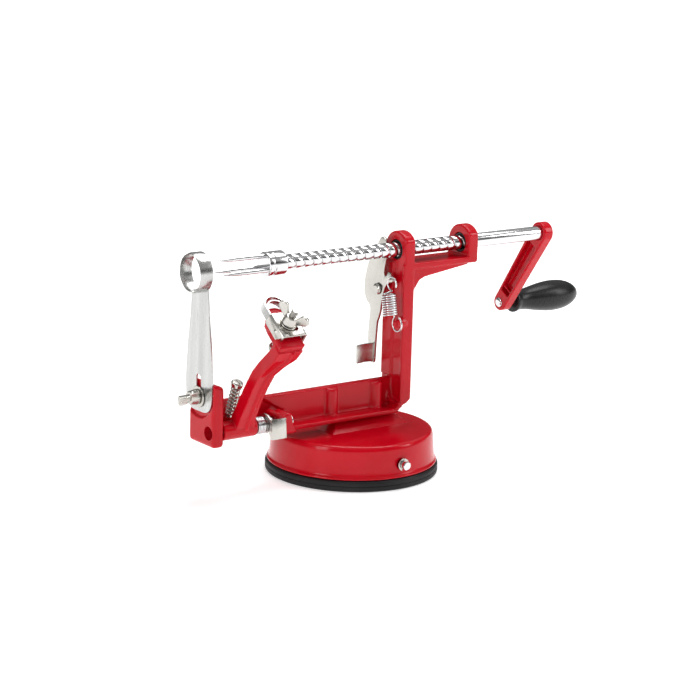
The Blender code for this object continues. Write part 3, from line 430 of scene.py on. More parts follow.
frame_body = soften(prism("red_frame", head_shape(31.6), "X", column), 1.7, 4)
heel = [(37, 42.5), (35.9, 40.5), (34.6, 38.0), (32.2, 36.1), (29.6, 35.3), (27.2, 33.9)]
heel += [(25.6, 31.0), (37, 30)]
carve(frame_body, prism("heel", heel, "Y", (-20, 20)))
floor_line = [(-49, beam[0]), (24.5, beam[0]), (26.4, 32.0), (27.6, 33.6), (29.4, 35.0), (29.4, 37.2)]
floor_line += [(26.5, 35.4), (24.0, 33.8), (-49, 33.8)]
block_right = -98.3
block_y = (block_low.y / MM, 9.9)
block_top = 66.5
side = [(block_left, block_bottom), (block_right, block_bottom)]
side += [(block_right, block_top - 2.6), (block_left, block_top)]
block = soften(prism("block", side, "Y", block_y), 2.0, 4)
recess = [(-13.6, 80), (-13.6, 57.0)] + arc((0.2, 60.0), 15.0, 200, 300, 24) + [(16, 52.5), (16, 80)]
carve(block, prism("recess", recess, "X", (block_left - 4, -104.2)))
lug = [(-63.6, 31.5), (-63.6, 41.6)] + arc((-61.2, 42.0), 2.4, 185, 30, 14) + [(-57.8, 42.2)]
lug += arc((-54.9, 41.0), 2.5, 130, 0, 12) + [(-51.4, 36.4), (-50.4, 33.6), (-49.2, 33.0), (-49.2, 31.5)]
panel = [(-49, 31.9), (29, 31.9), (29, 50.3), (-62.9, 50.3), (-62.5, 49.4), (-47.7, 40.4), (-47.7, 36.0)]
rib = [(30, 118.4), (30, 99.0), (35.6, 99.0), (36.0, 101.2), (37.4, 103.4), (40.7, 108.0), (44.5, 109.6)]
rib += [(rear[0] + 1, 113.9), (rear[0] + 1, 118.4)]
shoulder = [(-9.0, 36.2), (4.4, 36.2), (4.4, 50.2), (2.2, 50.2), (1.2, 47.0), (0.0, 40.0)]
shoulder += [(-1.6, 38.0), (-5.0, 37.0), (-9.0, 36.6)]
web_side = [(-98, 31.6), (30, 31.6), (30, beam[1]), (-64, beam[1]), (-67, 52), (-98, 52)]
shelf = [(-98, 31.4), (-46, 31.4), (-46, 33.5), (-98, 33.5)]
neck = [(-99.5, 31.6), (-95.5, 31.6), (-95.5, 50), (-99.5, 52.4)]
parts = [
    soften(prism("rear_head", head_shape(115.0), "X", rear), 1.7, 4),
    prism("shoulder", shoulder, "X", (25.4, 28.6)),
    prism("rib", rib, "Y", (-7.2, -2.4)),
    prism("rib_far", rib, "Y", (4.6, 8.6)),
    prism("flange", [(30, 115.4), (78, 115.4), (78, 118.6), (30, 118.6)], "Y", wall),
    prism("web", web_side, "Y", (2.2, web[1])),
    prism("panel", panel, "Y", (web[0], 3.0)),
    prism("floor", floor_line, "Y", (wall[0], web[1] - 0.2)),
    prism("shelf", shelf, "Y", (-3.8, web[1] - 0.1)),
    soften(prism("lug", lug, "Y", (-14.4, -2.6)), 1.8, 4),
    block,
    prism("neck", neck, "Y", (-3.6, web[1] - 0.3)),
    prism("strip", [(0.8, 51.5), (9.9, 51.5), (9.9, 117), (0.8, 119)], "X", (27.0, 29.0)),
    prism("edge", [(-9.2, 34), (-7.4, 34), (-7.4, 118), (-9.2, 118)], "X", (27.5, 29.0)),
    rod("ear", 4.6, (25.05, pivot_y, pivot_z), (30, pivot_y, pivot_z)),
    rod("peg", 2.2, (22.2, -8.8, 84.3), (30, -7.0, 84.3)),
    rod("peg_foot", 3.0, (26.4, -7.4, 84.3), (30, -6.9, 84.3)),
]
boss_y = 1.6
for x in screw_x:
    parts.append(soften(rod("boss", 4.2, (x, boss_y, 32), (x, boss_y, 49.4)), 1.2, 4, 50))
stop_top = Vector(joints["depth_screw_turn"]["pos_m"]) / MM
stop_down = Vector(joints["depth_screw_turn"]["axis"]).normalized()
parts.append(rod("stop_boss", 3.2, stop_top + stop_down * 22.5, stop_top + stop_down * 36))
cast(merge(frame_body, *parts), 0.5, 8)
for x in screw_x:
    carve(frame_body, rod("hole", 2.2, (x, boss_y, 20), (x, boss_y, 46)))
for span in (column, rear):
    carve(frame_body, rod("bore", bush_hole, (span[0] - 6, 0, shaft_z), (span[1] + 6, 0, shaft_z), 96))
corer_z = joints["corer_nut_turn"]["pos_m"][2] / MM
carve(frame_body,
      rod("rod_hole", 3.95, (-110, rod_y, rod_z), (-45, rod_y, rod_z)),
      rod("pivot", 2.1, (20, pivot_y, pivot_z), (31, pivot_y, pivot_z)),
      rod("bolt", 2.2, (-110, 0, corer_z), (-96, 0, corer_z)),
      rod("stop", 1.9, stop_top + stop_down * 15, stop_top + stop_down * 36))
fit(smooth(frame_body, 50), red, "base", "red_paint", "frame_casting")

# ------------------------------------------------------------------ shaft bushes
# Black nylon bushes pressed in the two heads. The rear one turns with the shaft.

black = surface("black_plastic", ((0.008, 0.008, 0.009), (0.016, 0.016, 0.017)), 0.0,
                (0.24, 0.34), 1600, 0.08, specks=0.02, shine=0.28)
shaft_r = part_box("drive_shaft")[1].y / MM
for name, body in (("bush_front", "base"), ("bush_rear", "turning_bush")):
    low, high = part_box(name)
    radius = high.y / MM
    inner = shaft_r + 0.22
    start = low.x / MM
    end = high.x / MM
    middle = (low.x + high.x) / 2 / MM
    profile = [(inner, middle), (inner, start), (radius, start), (radius, end), (inner, end)]
    profile = rounded(profile + [(inner, middle + 0.01)], 0.5)
    bush = turned("nylon_" + name, profile, (0, 0, shaft_z), (1, 0, 0), 72)
    fit(bush, black, body, "black_plastic", name)

# ------------------------------------------------------------------ drive shaft
# Chromed steel shaft, 8.4 mm thick, with a right-hand groove of 6 mm pitch cut with
# wide flat lands. It runs plain from the rear head to the crank.

shaft_x = tuple(corner.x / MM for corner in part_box("drive_shaft"))
feed = frame["record"]["behaviour"]["couplings"][0]
pitch = 2 * math.pi * feed["ratio"] / MM
groove = (0.95, 0.6)
thread_phase = -0.23
first = thread_phase - 9 * pitch
turns = 22
sides = 56
last = first + pitch * (turns - 1 / sides)
half = groove[0] / 2
lip = ((-half - 0.22, 0.0), (-half - 0.08, 0.12), (-half + 0.04, 0.85), (-half + 0.16, 1.0))
lip += tuple((-x, d) for x, d in reversed(lip))
stations = len(lip)
points = []
rows = []
caps = []
ends = (shaft_x[0], shaft_x[0] + 0.5, shaft_x[1] - 0.5, shaft_x[1])
for side in range(sides):
    a = 2 * math.pi * side / sides
    row = []
    for turn in range(turns):
        for offset, deep in lip:
            x = first + pitch * (turn + side / sides) + offset
            fade = max(min((x - first - half - 0.5) / 4, (last - half - 0.5 - x) / 4, 1.0), 0.0)
            radius = shaft_r - deep * groove[1] * fade
            row.append(len(points))
            points.append((x, radius * math.cos(a), shaft_z + radius * math.sin(a)))
    rows.append(row)
    cap = []
    for x, radius in zip(ends, (shaft_r - 0.5, shaft_r, shaft_r, shaft_r - 0.5)):
        cap.append(len(points))
        points.append((x, radius * math.cos(a), shaft_z + radius * math.sin(a)))
    caps.append(cap)
faces = []
for side in range(sides):
    after = (side + 1) % sides
    faces.append((caps[side][0], caps[after][0], caps[after][1], caps[side][1]))
    faces.append((caps[side][2], caps[after][2], caps[after][3], caps[side][3]))
for side in range(sides - 1):
    a, b = rows[side], rows[side + 1]
    faces += [(a[i], b[i], b[i + 1], a[i + 1]) for i in range(len(a) - 1)]
    faces.append((caps[side][1], caps[side + 1][1], b[0], a[0]))
    faces.append((a[-1], b[-1], caps[side + 1][2], caps[side][2]))
a, b = rows[-1], rows[0]
faces += [(a[i], b[i + stations], b[i + stations + 1], a[i + 1]) for i in range(len(a) - stations - 1)]
faces.append([caps[-1][1], caps[0][1]] + b[:stations + 1] + [a[0]])
faces.append([b[-1], caps[0][2], caps[-1][2]] + a[:-stations - 2:-1])
faces.append([cap[0] for cap in caps])
faces.append([cap[3] for cap in caps])
shaft = smooth(solid("threaded_shaft", points, faces), 32)
fit(shaft, bright, "drive", "bright_steel", "drive_shaft")

# ------------------------------------------------------------------ fruit fork
# Turned steel hub pressed on the shaft's end, with three prongs for the fruit. The
# prongs are ground to points and stand at equal angles round the shaft's line.

hub_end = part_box("fruit_fork")[1].x / MM
hub_start = hub_end - 12.5
hub = [(0, hub_start), (6.4, hub_start), (7.0, hub_start + 0.7), (7.0, hub_start + 3)]
hub += [(6.6, hub_start + 3.4), (6.6, hub_start + 4.2), (7.0, hub_start + 4.6), (7.0, hub_end - 0.7)]
hub += [(6.3, hub_end), (shaft_r + 0.2, hub_end)]
hub += [(shaft_r + 0.2, shaft_x[0] - 0.2), (0, shaft_x[0] - 0.2)]
fork = turned("steel_fork", rounded(hub, 0.35, 3), (0, 0, shaft_z), (1, 0, 0), 72)
for turn in range(3):
    a = math.radians(90 + 120 * turn)
    prong = [(0, 0), (1.3, 0), (1.3, 20), (1.0, 25), (0.5, 29), (0.12, 30.2), (0, 30.3)]
    root = (hub_start + 1, 4.8 * math.cos(a), shaft_z + 4.8 * math.sin(a))
    weld(fork, turned("prong", prong, root, (-1, 0, 0), 20))
fit(smooth(fork), bright, "drive", "bright_steel", "fruit_fork")

# ------------------------------------------------------------------ crank arm
# Cast red arm pinned on the shaft. Its side towards the frame is hollowed to a
# channel that a small web closes above the spindle's boss.

crank_low, crank_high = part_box("crank_arm")
crank_x = (crank_low.x / MM, crank_high.x / MM)
grip_y, grip_z = (value / MM for value in joints["grip_spin"]["pos_m"][1:])
crank_length = math.hypot(grip_y, shaft_z - grip_z)
lean = math.atan2(grip_y, shaft_z - grip_z)
outline = arc((0, 0), 6.5, 4, 176, 30) + arc((0, -crank_length), 5.2, 184, 356, 26)
crank = soften(prism("red_crank", outline, "X", crank_x), 0.9, 4)
trough = [(-4.1, -9.0)] + arc((-2.9, -50.0), 1.0, 180, 270, 5)
trough += arc((2.9, -50.0), 1.0, 270, 360, 5) + [(4.1, -9.0)]
carve(crank, prism("trough", trough, "X", (crank_x[0] - 3, crank_x[0] + 4.2)))
bridge = [(-4.2, -49.4), (4.2, -49.4), (4.2, -48.2), (-4.2, -48.2)]
weld(crank, prism("bridge", bridge, "X", (crank_x[0] + 1.6, crank_x[1] - 1)))
carve(crank, rod("bore", shaft_r + 0.12, (crank_x[0] - 3, 0, 0), (crank_x[1] + 3, 0, 0), 72))
carve(crank, rod("bore", 2.6, (crank_x[0] - 3, 0, -crank_length), (crank_x[1] + 3, 0, -crank_length)))
crank.data.transform(Matrix.Rotation(lean, 4, "X"))
crank.data.transform(Matrix.Translation(Vector((0, 0, shaft_z)) * MM))
cast(crank, 0.32, 3)
fit(crank, red, "drive", "red_paint", "crank_arm")

# ------------------------------------------------------------------ grip and spindle
# Pear-shaped black plastic grip, free to turn on a steel spindle that is riveted
# over on the crank's inner face.

rivet_x, cap_x = (corner.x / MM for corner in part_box("grip_spindle"))
under_cap = cap_x - 1.6
rivet_end = crank_x[0] - 0.15
spindle = [(0, rivet_x + 0.5), (1.4, rivet_x + 0.5), (2.4, rivet_x + 0.8), (2.9, rivet_x + 1.3)]
spindle += [(2.9, rivet_end), (2.4, rivet_end), (2.4, under_cap), (4.0, under_cap)]
spindle += [(4.0, cap_x - 0.4), (3.5, cap_x), (0, cap_x)]
rivet = turned("rivet_spindle", spindle, (0, grip_y, grip_z), (1, 0, 0), 48)
fit(rivet, bright, "drive", "plated_steel", "grip_spindle")

grip_start, grip_end = (corner.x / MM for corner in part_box("handle_grip"))
pear = ((5.4, 0), (7.0, 0.25), (7.3, 1.3), (7.0, 2.6), (6.5, 4.2), (6.35, 6.5), (6.5, 10.0), (7.2, 14.5),
        (8.2, 20.0), (9.0, 25.5), (9.45, 30.5), (9.45, 35.0), (9.0, 40.0))
knots = [(radius, grip_start + along) for radius, along in pear]
knots += [(8.0, grip_end - 6.6), (6.6, grip_end - 3.2), (5.4, grip_end - 1.2), (4.5, grip_end)]


def flowing(points, steps):
    """A smooth curve through all the points."""

    def between(p, q, r, s, t):
        bend = 2 * p - 5 * q + 4 * r - s
        twist = 3 * q - p - 3 * r + s
        return 0.5 * (2 * q + (r - p) * t + bend * t * t + twist * t ** 3)

    padded = [points[0]] + list(points) + [points[-1]]
    result = []
    for knots_near in zip(padded, padded[1:], padded[2:], padded[3:]):
        for step in range(steps):
            result.append(tuple(between(*values, step / steps) for values in zip(*knots_near)))
    return result + [tuple(points[-1])]


seat_x = under_cap - 0.3
grip_profile = [(2.7, grip_start)] + flowing(knots, 5) + [(4.3, grip_end - 0.4), (4.3, seat_x), (2.7, seat_x)]
grip = turned("pear_grip", grip_profile, (0, grip_y, grip_z), (1, 0, 0), 96)
fit(grip, black, "grip", "black_plastic", "handle_grip")

# ------------------------------------------------------------------ release lever
# Plated steel lever stamped from sheet. Its top edge hooks over the far side of the
# shaft with a tooth in the groove, a finger takes the spring, and a bent tab the thumb.

release_x = (23.25, 24.75)
outline = [(7.6, 132.6), (6.2, 132.8), (4.6, 132.2), (3.5, 130.9)]
outline += [(y, shaft_z + z) for y, z in reversed(arc((0, 0), shaft_r + 0.45, -58, 46, 22))]
outline += flowing([(3.2, 119.5), (3.9, 116.5), (4.4, 112.6), (4.0, 110.9), (2.9, 110.3), (1.8, 110.7)], 4)
outline += [(0.5, 112.9), (-0.3, 113.2), (-1.1, 112.8)]
outline += flowing([(-3.7, 109.9), (-4.0, 108.9), (-3.4, 108.0), (-1.0, 107.2), (1.5, 105.9)], 4)
outline += flowing([(3.6, 103.2), (5.2, 99.0), (6.4, 93.5), (7.4, 88.4), (8.8, 84.4), (10.0, 81.5),
                    (10.8, 74.0), (11.4, 65.0)], 4)
outline += flowing([(11.7, 58.6), (12.2, 57.3), (13.1, 56.8), (14.4, 57.0), (15.4, 58.2)], 3)
outline += flowing([(17.0, 65.0), (18.0, 72.0), (17.3, 81.0), (16.6, 89.0), (18.4, 91.6), (21.0, 94.2),
                    (22.4, 97.4), (22.7, 100.5), (22.2, 106.5), (21.0, 111.0), (19.0, 116.5),
                    (15.0, 122.8), (11.0, 128.4), (9.2, 131.2)], 4)
lever = prism("stamped_lever", outline, "X", release_x)
carve(lever, rod("hole", 2.05, (20, pivot_y, pivot_z), (28, pivot_y, pivot_z)))
soften(lever, 0.28, 2, 50)
tooth_x = thread_phase + 4 * pitch
tip = shaft_r - 0.45
tooth = [(tip, shaft_z - 0.5), (5.2, shaft_z - 0.9), (5.2, shaft_z + 0.9), (tip, shaft_z + 0.5)]
hook = [(-3.8, 108.2), (-2.6, 108.2), (-2.6, 109.4), (-3.8, 109.4)]
thumb = [(24.5, 12.1), (24.5, 13.6), (18.4, 14.8), (11.4, 13.4), (11.4, 12.0), (18.4, 13.2)]
weld(lever,
     prism("tooth", tooth, "X", (tooth_x - 0.3, tooth_x + 0.3)),
     prism("hook", hook, "X", (21.0, 24.0)),
     soften(prism("thumb", thumb, "Z", (57.8, 68.8)), 0.35, 2))
fit(smooth(lever, 35), plated, "release", "plated_steel", "release_lever")

# ------------------------------------------------------------------ lever pivot screw
# Plated shoulder screw with a low domed head. It holds the lever against the
# casting's ear and lets it swing.

head_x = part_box("lever_screw")[0].x / MM
shank_end = 30.2
under_head = release_x[0] - 0.3
pivot_profile = [(0, head_x), (2.2, head_x), (3.4, head_x + 0.9), (3.4, under_head)]
pivot_profile += [(1.8, under_head), (1.8, shank_end), (0, shank_end)]
pivot = turned("lever_pivot_screw", rounded(pivot_profile, 0.3), (0, pivot_y, pivot_z), (1, 0, 0), 48)
fit(smooth(pivot), plated, "base", "plated_steel", "lever_screw")

# ------------------------------------------------------------------ release spring
# Bright spring wire, wound close as an extension spring, with a full loop at each
# end: one on the casting's peg and one on the lever's finger.


def wire(name, path, radius, sides=10):
    """A round wire along a path of points, closed at its ends."""
    centres = [Vector(point) for point in path]
    points = []
    across = None
    for index, centre in enumerate(centres):
        along = (centres[min(index + 1, len(centres) - 1)] - centres[max(index - 1, 0)]).normalized()
        if across is None:
            across = along.orthogonal().normalized()
        across = (across - along * across.dot(along)).normalized()
        other = along.cross(across)
        for side in range(sides):
            a = 2 * math.pi * side / sides
            points.append(centre + radius * (math.cos(a) * across + math.sin(a) * other))
    faces = [tuple(range(sides))[::-1], tuple(range(len(points) - sides, len(points)))]
    for ring in range(len(centres) - 1):
        for side in range(sides):
            after = (side + 1) % sides
            low = ring * sides
            faces.append((low + side, low + after, low + sides + after, low + sides + side))
    return smooth(solid(name, points, faces), 60)


def coil(low, high, radius, turns, start=0, steps=24):
    """Points of a helix between two points."""
    low = Vector(low)
    high = Vector(high)
    axis = (high - low).normalized()
    across = (Vector((1, 0, 0)) - axis * axis.x).normalized()
    other = axis.cross(across)
    count = int(turns * steps)
    result = []
    for step in range(count + 1):
        a = math.radians(start) + 2 * math.pi * step / steps
        out = math.cos(a) * across + math.sin(a) * other
        result.append(low + (high - low) * step / count + radius * out)
    return result


def loop(x, centre, radius, angles):
    """Points of a spring's end loop, which stands across the X axis."""
    turns = [math.radians(a) for a in angles]
    return [(x, centre[0] + radius * math.cos(a), centre[1] + radius * math.sin(a)) for a in turns]


spring_x = 19.6
ring_x = 22.4
spring_path = loop(ring_x + 1.2, (-9.0, 84.2), 4.2, range(-250, 60, 12))
spring_path += coil((spring_x, -7.6, 89.4), (spring_x, -5.4, 102.0), 3.9, 9.5, 20)[:-6]
spring_path += loop(ring_x, (-4.6, 107.2), 3.9, range(-100, 210, 12))
release_spring = wire("extension_spring", flowing([tuple(point) for point in spring_path], 1), 0.52)
fit(release_spring, bright, "base", "plated_steel", "release_spring")

# ------------------------------------------------------------------ hinge rod
# Ground steel rod, held in the front block and the beam's lug. It stops a little
# short of the block's outer face. The peeler arm and its catch swing on it.

pivot_low, pivot_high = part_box("pivot_rod")
pin_r = (pivot_high.z - pivot_low.z) / 2 / MM
pin_start = pivot_low.x / MM + 3.6
pin = [(0, pin_start), (pin_r - 0.5, pin_start), (pin_r, pin_start + 0.5)]
pin += [(pin_r, pivot_high.x / MM - 0.5), (pin_r - 0.5, pivot_high.x / MM), (0, pivot_high.x / MM)]
hinge_rod = turned("hinge_rod", pin, (0, rod_y, rod_z), (1, 0, 0), 64)
fit(hinge_rod, bright, "base", "bright_steel", "pivot_rod")

# ------------------------------------------------------------------ peeler arm
# Red casting that swings on the rod. A tube hub, a leaning bar with a rib down its
# face, and a flat head with a rounded nose that backs the blade.

clamp_joint = joints["clamp_nut_turn"]
clamp_at = Vector(clamp_joint["pos_m"]) / MM
clamp_up = Vector(clamp_joint["axis"]).normalized()
clamp_along = Vector((0, clamp_up.z, -clamp_up.y))


def on_clamp(x, along, up):
    """A point named by its place across, along and above the blade clamp's top face."""
    at = clamp_at + clamp_along * along + clamp_up * up
    return (x, at.y, at.z)


def lofted(name, rings):
    """Closed rings of points, skinned one after the other."""
    count = len(rings[0])
    points = [point for ring in rings for point in ring]
    faces = [tuple(range(count))[::-1], tuple(range(len(points) - count, len(points)))]
    for ring in range(len(rings) - 1):
        low = ring * count
        for side in range(count):
            a = low + side
            b = low + (side + 1) % count
            faces.append((a, b, b + count, a + count))
    return solid(name, points, faces)


hub_x = (-97.9, -76.1)
hub_r = 5.3
hub_tube = [(0, hub_x[0]), (hub_r, hub_x[0]), (hub_r, hub_x[1]), (0, hub_x[1])]
arm = turned("red_arm", hub_tube, (0, rod_y, rod_z), (1, 0, 0), 64)
# Each row: the bar's two sides in X, then (y, z) of its back and of its front face.
spine = [
    (-90.6, -79.0, -7.2, 41.2, -15.0, 38.6),
    (-90.0, -79.0, -10.8, 48.0, -17.6, 45.2),
    (-89.4, -79.2, -15.8, 57.4, -22.8, 54.6),
    (-88.8, -78.6, -20.8, 66.4, -27.8, 63.8),
    (-88.0, -77.4, -25.4, 74.2, -32.6, 72.0),
    (-87.2, -74.4, -30.6, 80.2, -37.4, 77.2),
    (-86.0, -70.4, -37.0, 86.6, -42.6, 82.0),
    (-85.0, -69.2, -43.0, 91.6, -46.6, 87.4)]
rings = []
for x0, x1, by, bz, fy, fz in spine:
    mid = x0 + (x1 - x0) * 0.62
    out = Vector((0, fy - by, fz - bz)).normalized() * 1.5
    rings.append([(x0, by, bz), (x1, by, bz), (x1, fy, fz), (mid + 1.2, fy, fz),
                  (mid + 0.4, fy + out.y, fz + out.z), (mid - 1.0, fy + out.y, fz + out.z),
                  (mid - 1.8, fy, fz), (x0, fy, fz)])
limb = lofted("limb", rings)
plate = []
seat_steps = ((-7.6, 6.2, 5.4), (4.0, 6.2, 5.4), (9.6, 5.6, 5.2), (12.6, 4.0, 4.2), (14.2, 2.0, 3.2))
for along, width, depth in seat_steps:
    plate.append([on_clamp(-74 - width, along, -7.6), on_clamp(-74 + width, along, -7.6),
                  on_clamp(-74 + width, along, -7.6 - depth), on_clamp(-74 - width, along, -7.6 - depth)])
seat = lofted("seat", plate)
neck = []
for x, y, z, thick in ((-74.0, -37.6, 86.0, 5.0), (-70.6, -41.6, 90.4, 5.2), (-68.0, -44.4, 95.0, 4.6)):
    neck.append([(-84.6, y + 2.4, z), (x, y + 2.4, z), (x, y - 2.4, z - thick), (-84.6, y - 2.4, z - thick)])
nose = []
for along, width, top in ((8.9, 5.0, -4.0), (12.0, 4.6, -4.2), (14.4, 3.6, -4.7), (16.2, 2.0, -5.6)):
    nose.append([on_clamp(-74 - width, along, top), on_clamp(-74 + width, along, top),
                 on_clamp(-74 + width * 0.8, along - 1, -12), on_clamp(-74 - width * 0.8, along - 1, -12)])
cast(merge(arm, limb, seat, lofted("neck", neck), lofted("nose", nose)), 0.36, 3)
carve(arm, rod("bore", pin_r + 0.25, (-110, rod_y, rod_z), (-60, rod_y, rod_z), 64))
carve(arm, rod("bolt", 2.2, clamp_at - clamp_up * 18, clamp_at + clamp_up * 12))
smooth(arm, 50)
fit(arm, red, "peeler", "red_paint", "peeler_arm")

# ------------------------------------------------------------------ return spring
# Bright wire, five turns round the rod beside the arm's hub. It pulls the arm
# inwards against the fruit.

coil_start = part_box("arm_spring")[0].x / MM + 0.6
steel_coil = []
for step in range(5 * 24 + 1):
    a = 2 * math.pi * step / 24
    x = coil_start + 5.0 * step / 120
    steel_coil.append((x, rod_y + 4.5 * math.cos(a), rod_z + 4.5 * math.sin(a)))
fit(wire("return_spring", steel_coil, 0.5), bright, "base", "bright_steel", "arm_spring")

# ------------------------------------------------------------------ arm catch
# Plated steel strip on the same rod, stamped, bored, and bent over at its end to a
# square tab for the thumb.

catch_low, catch_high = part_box("arm_catch")
catch_x = (catch_low.x / MM, catch_low.x / MM + 1.3)
outline = arc((rod_y, rod_z), 6.2, 20, 100, 14) + [(-13.4, 43.9), (-16.4, 42.2), (-18.4, 31.0)]
outline += [(-17.0, 30.6), (-14.6, 35.0)] + arc((rod_y, rod_z), 5.0, 215, 375, 20)
catch = prism("thumb_catch", outline, "X", catch_x)
carve(catch, rod("bore", pin_r + 0.25, (-72, rod_y, rod_z), (-64, rod_y, rod_z), 48))
tab = [(-17.9, 42.2), (-16.8, 42.2), (-18.0, 31.0), (-19.1, 31.0)]
weld(catch, prism("tab", tab, "X", (catch_low.x / MM, catch_high.x / MM)))
soften(catch, 0.25, 2, 50)
fit(smooth(catch, 35), plated, "catch", "plated_steel", "arm_catch")

# ------------------------------------------------------------------ depth screw
# Slotted cheese-head screw with a small spring under its head. It sets how far in
# the arm can lean.

stop_profile = [(0, 0), (2.5, 0), (3.4, 0.7), (3.4, 3.0), (1.5, 3.0), (1.5, 4.0), (0, 4.0)]
depth_screw = turned("slotted_screw", rounded(stop_profile, 0.35), stop_top, stop_down, 48)
weld(depth_screw, thread("shank", 1.6, 0.7, 0.3, stop_top + stop_down * 3.5, stop_down, 25))
slot_box = prism("slot", [(-0.5, -6), (0.5, -6), (0.5, 6), (-0.5, 6)], "Z", (-3, 1.2))
lean_down = Vector((0, 0, 1)).rotation_difference(stop_down).to_matrix().to_4x4()
slot_box.data.transform(Matrix.Translation(stop_top * MM) @ lean_down)
carve(depth_screw, slot_box)
fit(smooth(depth_screw), plated, "depth", "plated_steel", "depth_screw")
small_coil = coil(stop_top + stop_down * 3.8, stop_top + stop_down * 21.6, 2.5, 8, 0, 18)
fit(wire("screw_spring", small_coil, 0.48, 8), plated, "base", "plated_steel", "depth_spring")

# ------------------------------------------------------------------ peeling blade
# Spring-steel strip bent to a U with a second cutting edge inside its bow. Its two
# ends lie under the clamp, and the bow stands out past the arm's nose.

blade_steel = surface("blade_steel", ((0.50, 0.50, 0.49), (0.62, 0.62, 0.61)), 1.0,
                      (0.18, 0.32), 1300, 0.08, stretch=(1, 4, 0.3))
blade_mid = sum(corner.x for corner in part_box("blade_clamp")) / 2 / MM
outer = 6.6
reach = 21.6
strip = 0.75
bow = arc((reach - outer, 0), outer, 90, -90, 40)
inner_bow = arc((reach - outer, 0), outer - strip, -90, 90, 40)
track = [(-6.4, outer)] + bow + [(-6.4, -outer), (-6.4, -outer + strip)] + inner_bow + [(-6.4, outer - strip)]
rings = [[on_clamp(blade_mid + x, along, up) for along, x in track] for up in (-7.3, -1.7)]
inner_track = [(reach - outer - 2.6 + along, x) for along, x in arc((0, 0), outer - 0.3, 62, -62, 24)]
inner_track += [(reach - outer - 3.2 + along, x) for along, x in arc((0, 0), outer - 0.3, -62, 62, 24)]
inner_rings = [[on_clamp(blade_mid + x, along, up) for along, x in inner_track] for up in (-3.6, -1.8)]
blade = smooth(weld(lofted("peeling_loop", rings), lofted("inner_edge", inner_rings)), 35)
window = [(2.5, -5.4), (reach - outer, -5.4), (reach - outer, -3.4), (2.5, -3.4)]
window_rings = [[on_clamp(x, along, up) for along, up in window] for x in (blade_mid + 4, blade_mid + 9)]
carve(blade, lofted("window", window_rings))
fit(smooth(soften(blade, 0.12, 2, 50), 35), blade_steel, "peeler", "blade_steel", "peeling_blade")

# ------------------------------------------------------------------ blade clamp
# Channel of folded, plated sheet over the blade. A bolt from behind the arm's head
# and a wing nut press both down. An oval hole is punched beside the bolt's.

clamp_x = tuple(corner.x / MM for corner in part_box("blade_clamp"))
sheet = 1.1
left, right = clamp_x
fold = [(left, -7.2), (left + sheet, -7.2), (left + sheet, -sheet), (right - sheet, -sheet)]
fold += [(right - sheet, -7.2), (right, -7.2), (right, -0.9), (right - 0.9, 0), (left + 0.9, 0), (left, -0.9)]
clamp = lofted("folded_clamp", [[on_clamp(x, along, up) for x, up in fold] for along in (-8.3, 8.3)])
carve(clamp, rod("bolt", 2.15, clamp_at - clamp_up * 6, clamp_at + clamp_up * 4))
oval = arc((clamp_at.x + 3.4, -3.4), 1.5, 0, 360, 24)[:-1]
carve(clamp, lofted("oval", [[on_clamp(x, along, up) for x, along in oval] for up in (-4, 3)]))
dimple = [(0, 0), (1.5, 0), (1.2, 0.35), (0.6, 0.55), (0, 0.6)]
weld(clamp, turned("dimple", dimple, on_clamp(clamp_x[0] + 0.02, -1.4, -3.9), (-1, 0, 0), 24))
soften(clamp, 0.22, 2, 40)
fit(smooth(clamp, 35), plated, "peeler", "plated_steel", "blade_clamp")

# ------------------------------------------------------------------ clamp bolt and wing nut
# Plated bolt through the arm's head and the clamp, a plain washer, and a wing nut
# with two broad ears in a V, formed cold from one blank.

bolt_foot = clamp_at - clamp_up * 18.8
bolt_head = rounded([(0, -2.2), (3.4, -2.2), (3.4, 0), (1.6, 0), (1.6, 3.0), (0, 3.0)], 0.4)
bolt = turned("clamp_screw", bolt_head, bolt_foot, clamp_up, 48)
weld(bolt, thread("shank", 1.9, 0.8, 0.32, bolt_foot + clamp_up * 2.5, clamp_up, 27.4, 32))
fit(smooth(bolt, 30), plated, "peeler", "plated_steel", "clamp_bolt")


def washer(name, start, direction, radius):
    """A stamped flat ring, 0.8 mm thick."""
    profile = rounded([(2.2, 0.4), (2.2, 0), (radius, 0), (radius, 0.8), (2.2, 0.8), (2.2, 0.41)], 0.25, 3)
    return turned(name, profile, start, direction, 48)


clamp_washer = washer("clamp_ring", clamp_at + clamp_up * 0.25, clamp_up, 4.6)
fit(clamp_washer, plated, "peeler", "plated_steel", "clamp_washer")


def wing_nut(name, lift, spread, tall):
    """A cold-formed wing nut, upright at the origin: a cone hub and two thick ears."""
    hub = rounded([(0, lift), (4.3, lift), (4.3, lift + 0.8), (3.5, lift + 5.2), (0, lift + 5.2)], 0.5)
    nut = turned(name, hub, (0, 0, 0), (0, 0, 1), 48)
    for side in (-1, 1):
        ear = [(2.9 * side, lift + 0.7)]
        ear += [(side * x, z) for x, z in arc((spread, lift + tall - 2.9), 2.9, -50, 150, 16)]
        ear += [(2.6 * side, lift + 4.6)]
        merge(nut, soften(prism("ear", ear, "Y", (-1.15, 1.15)), 0.6, 3, 50))
    return carve(cast(nut, 0.2, 3), rod("core", 2.05, (0, 0, -1), (0, 0, 12), 32))


def placed(obj, at, direction, spin):
    """Spins a piece about its own axis, then moves it to its place along a line."""
    turn = Vector((0, 0, 1)).rotation_difference(Vector(direction)).to_matrix().to_4x4()
    spun = Matrix.Rotation(math.radians(spin), 4, "Z")
    obj.data.transform(Matrix.Translation(Vector(at) * MM) @ turn @ spun)
    return obj


clamp_nut = placed(wing_nut("clamp_wings", 1.4, 7.0, 10.4), clamp_at, clamp_up, 117)
fit(clamp_nut, plated, "clamp_nut", "plated_steel", "clamp_wing_nut")

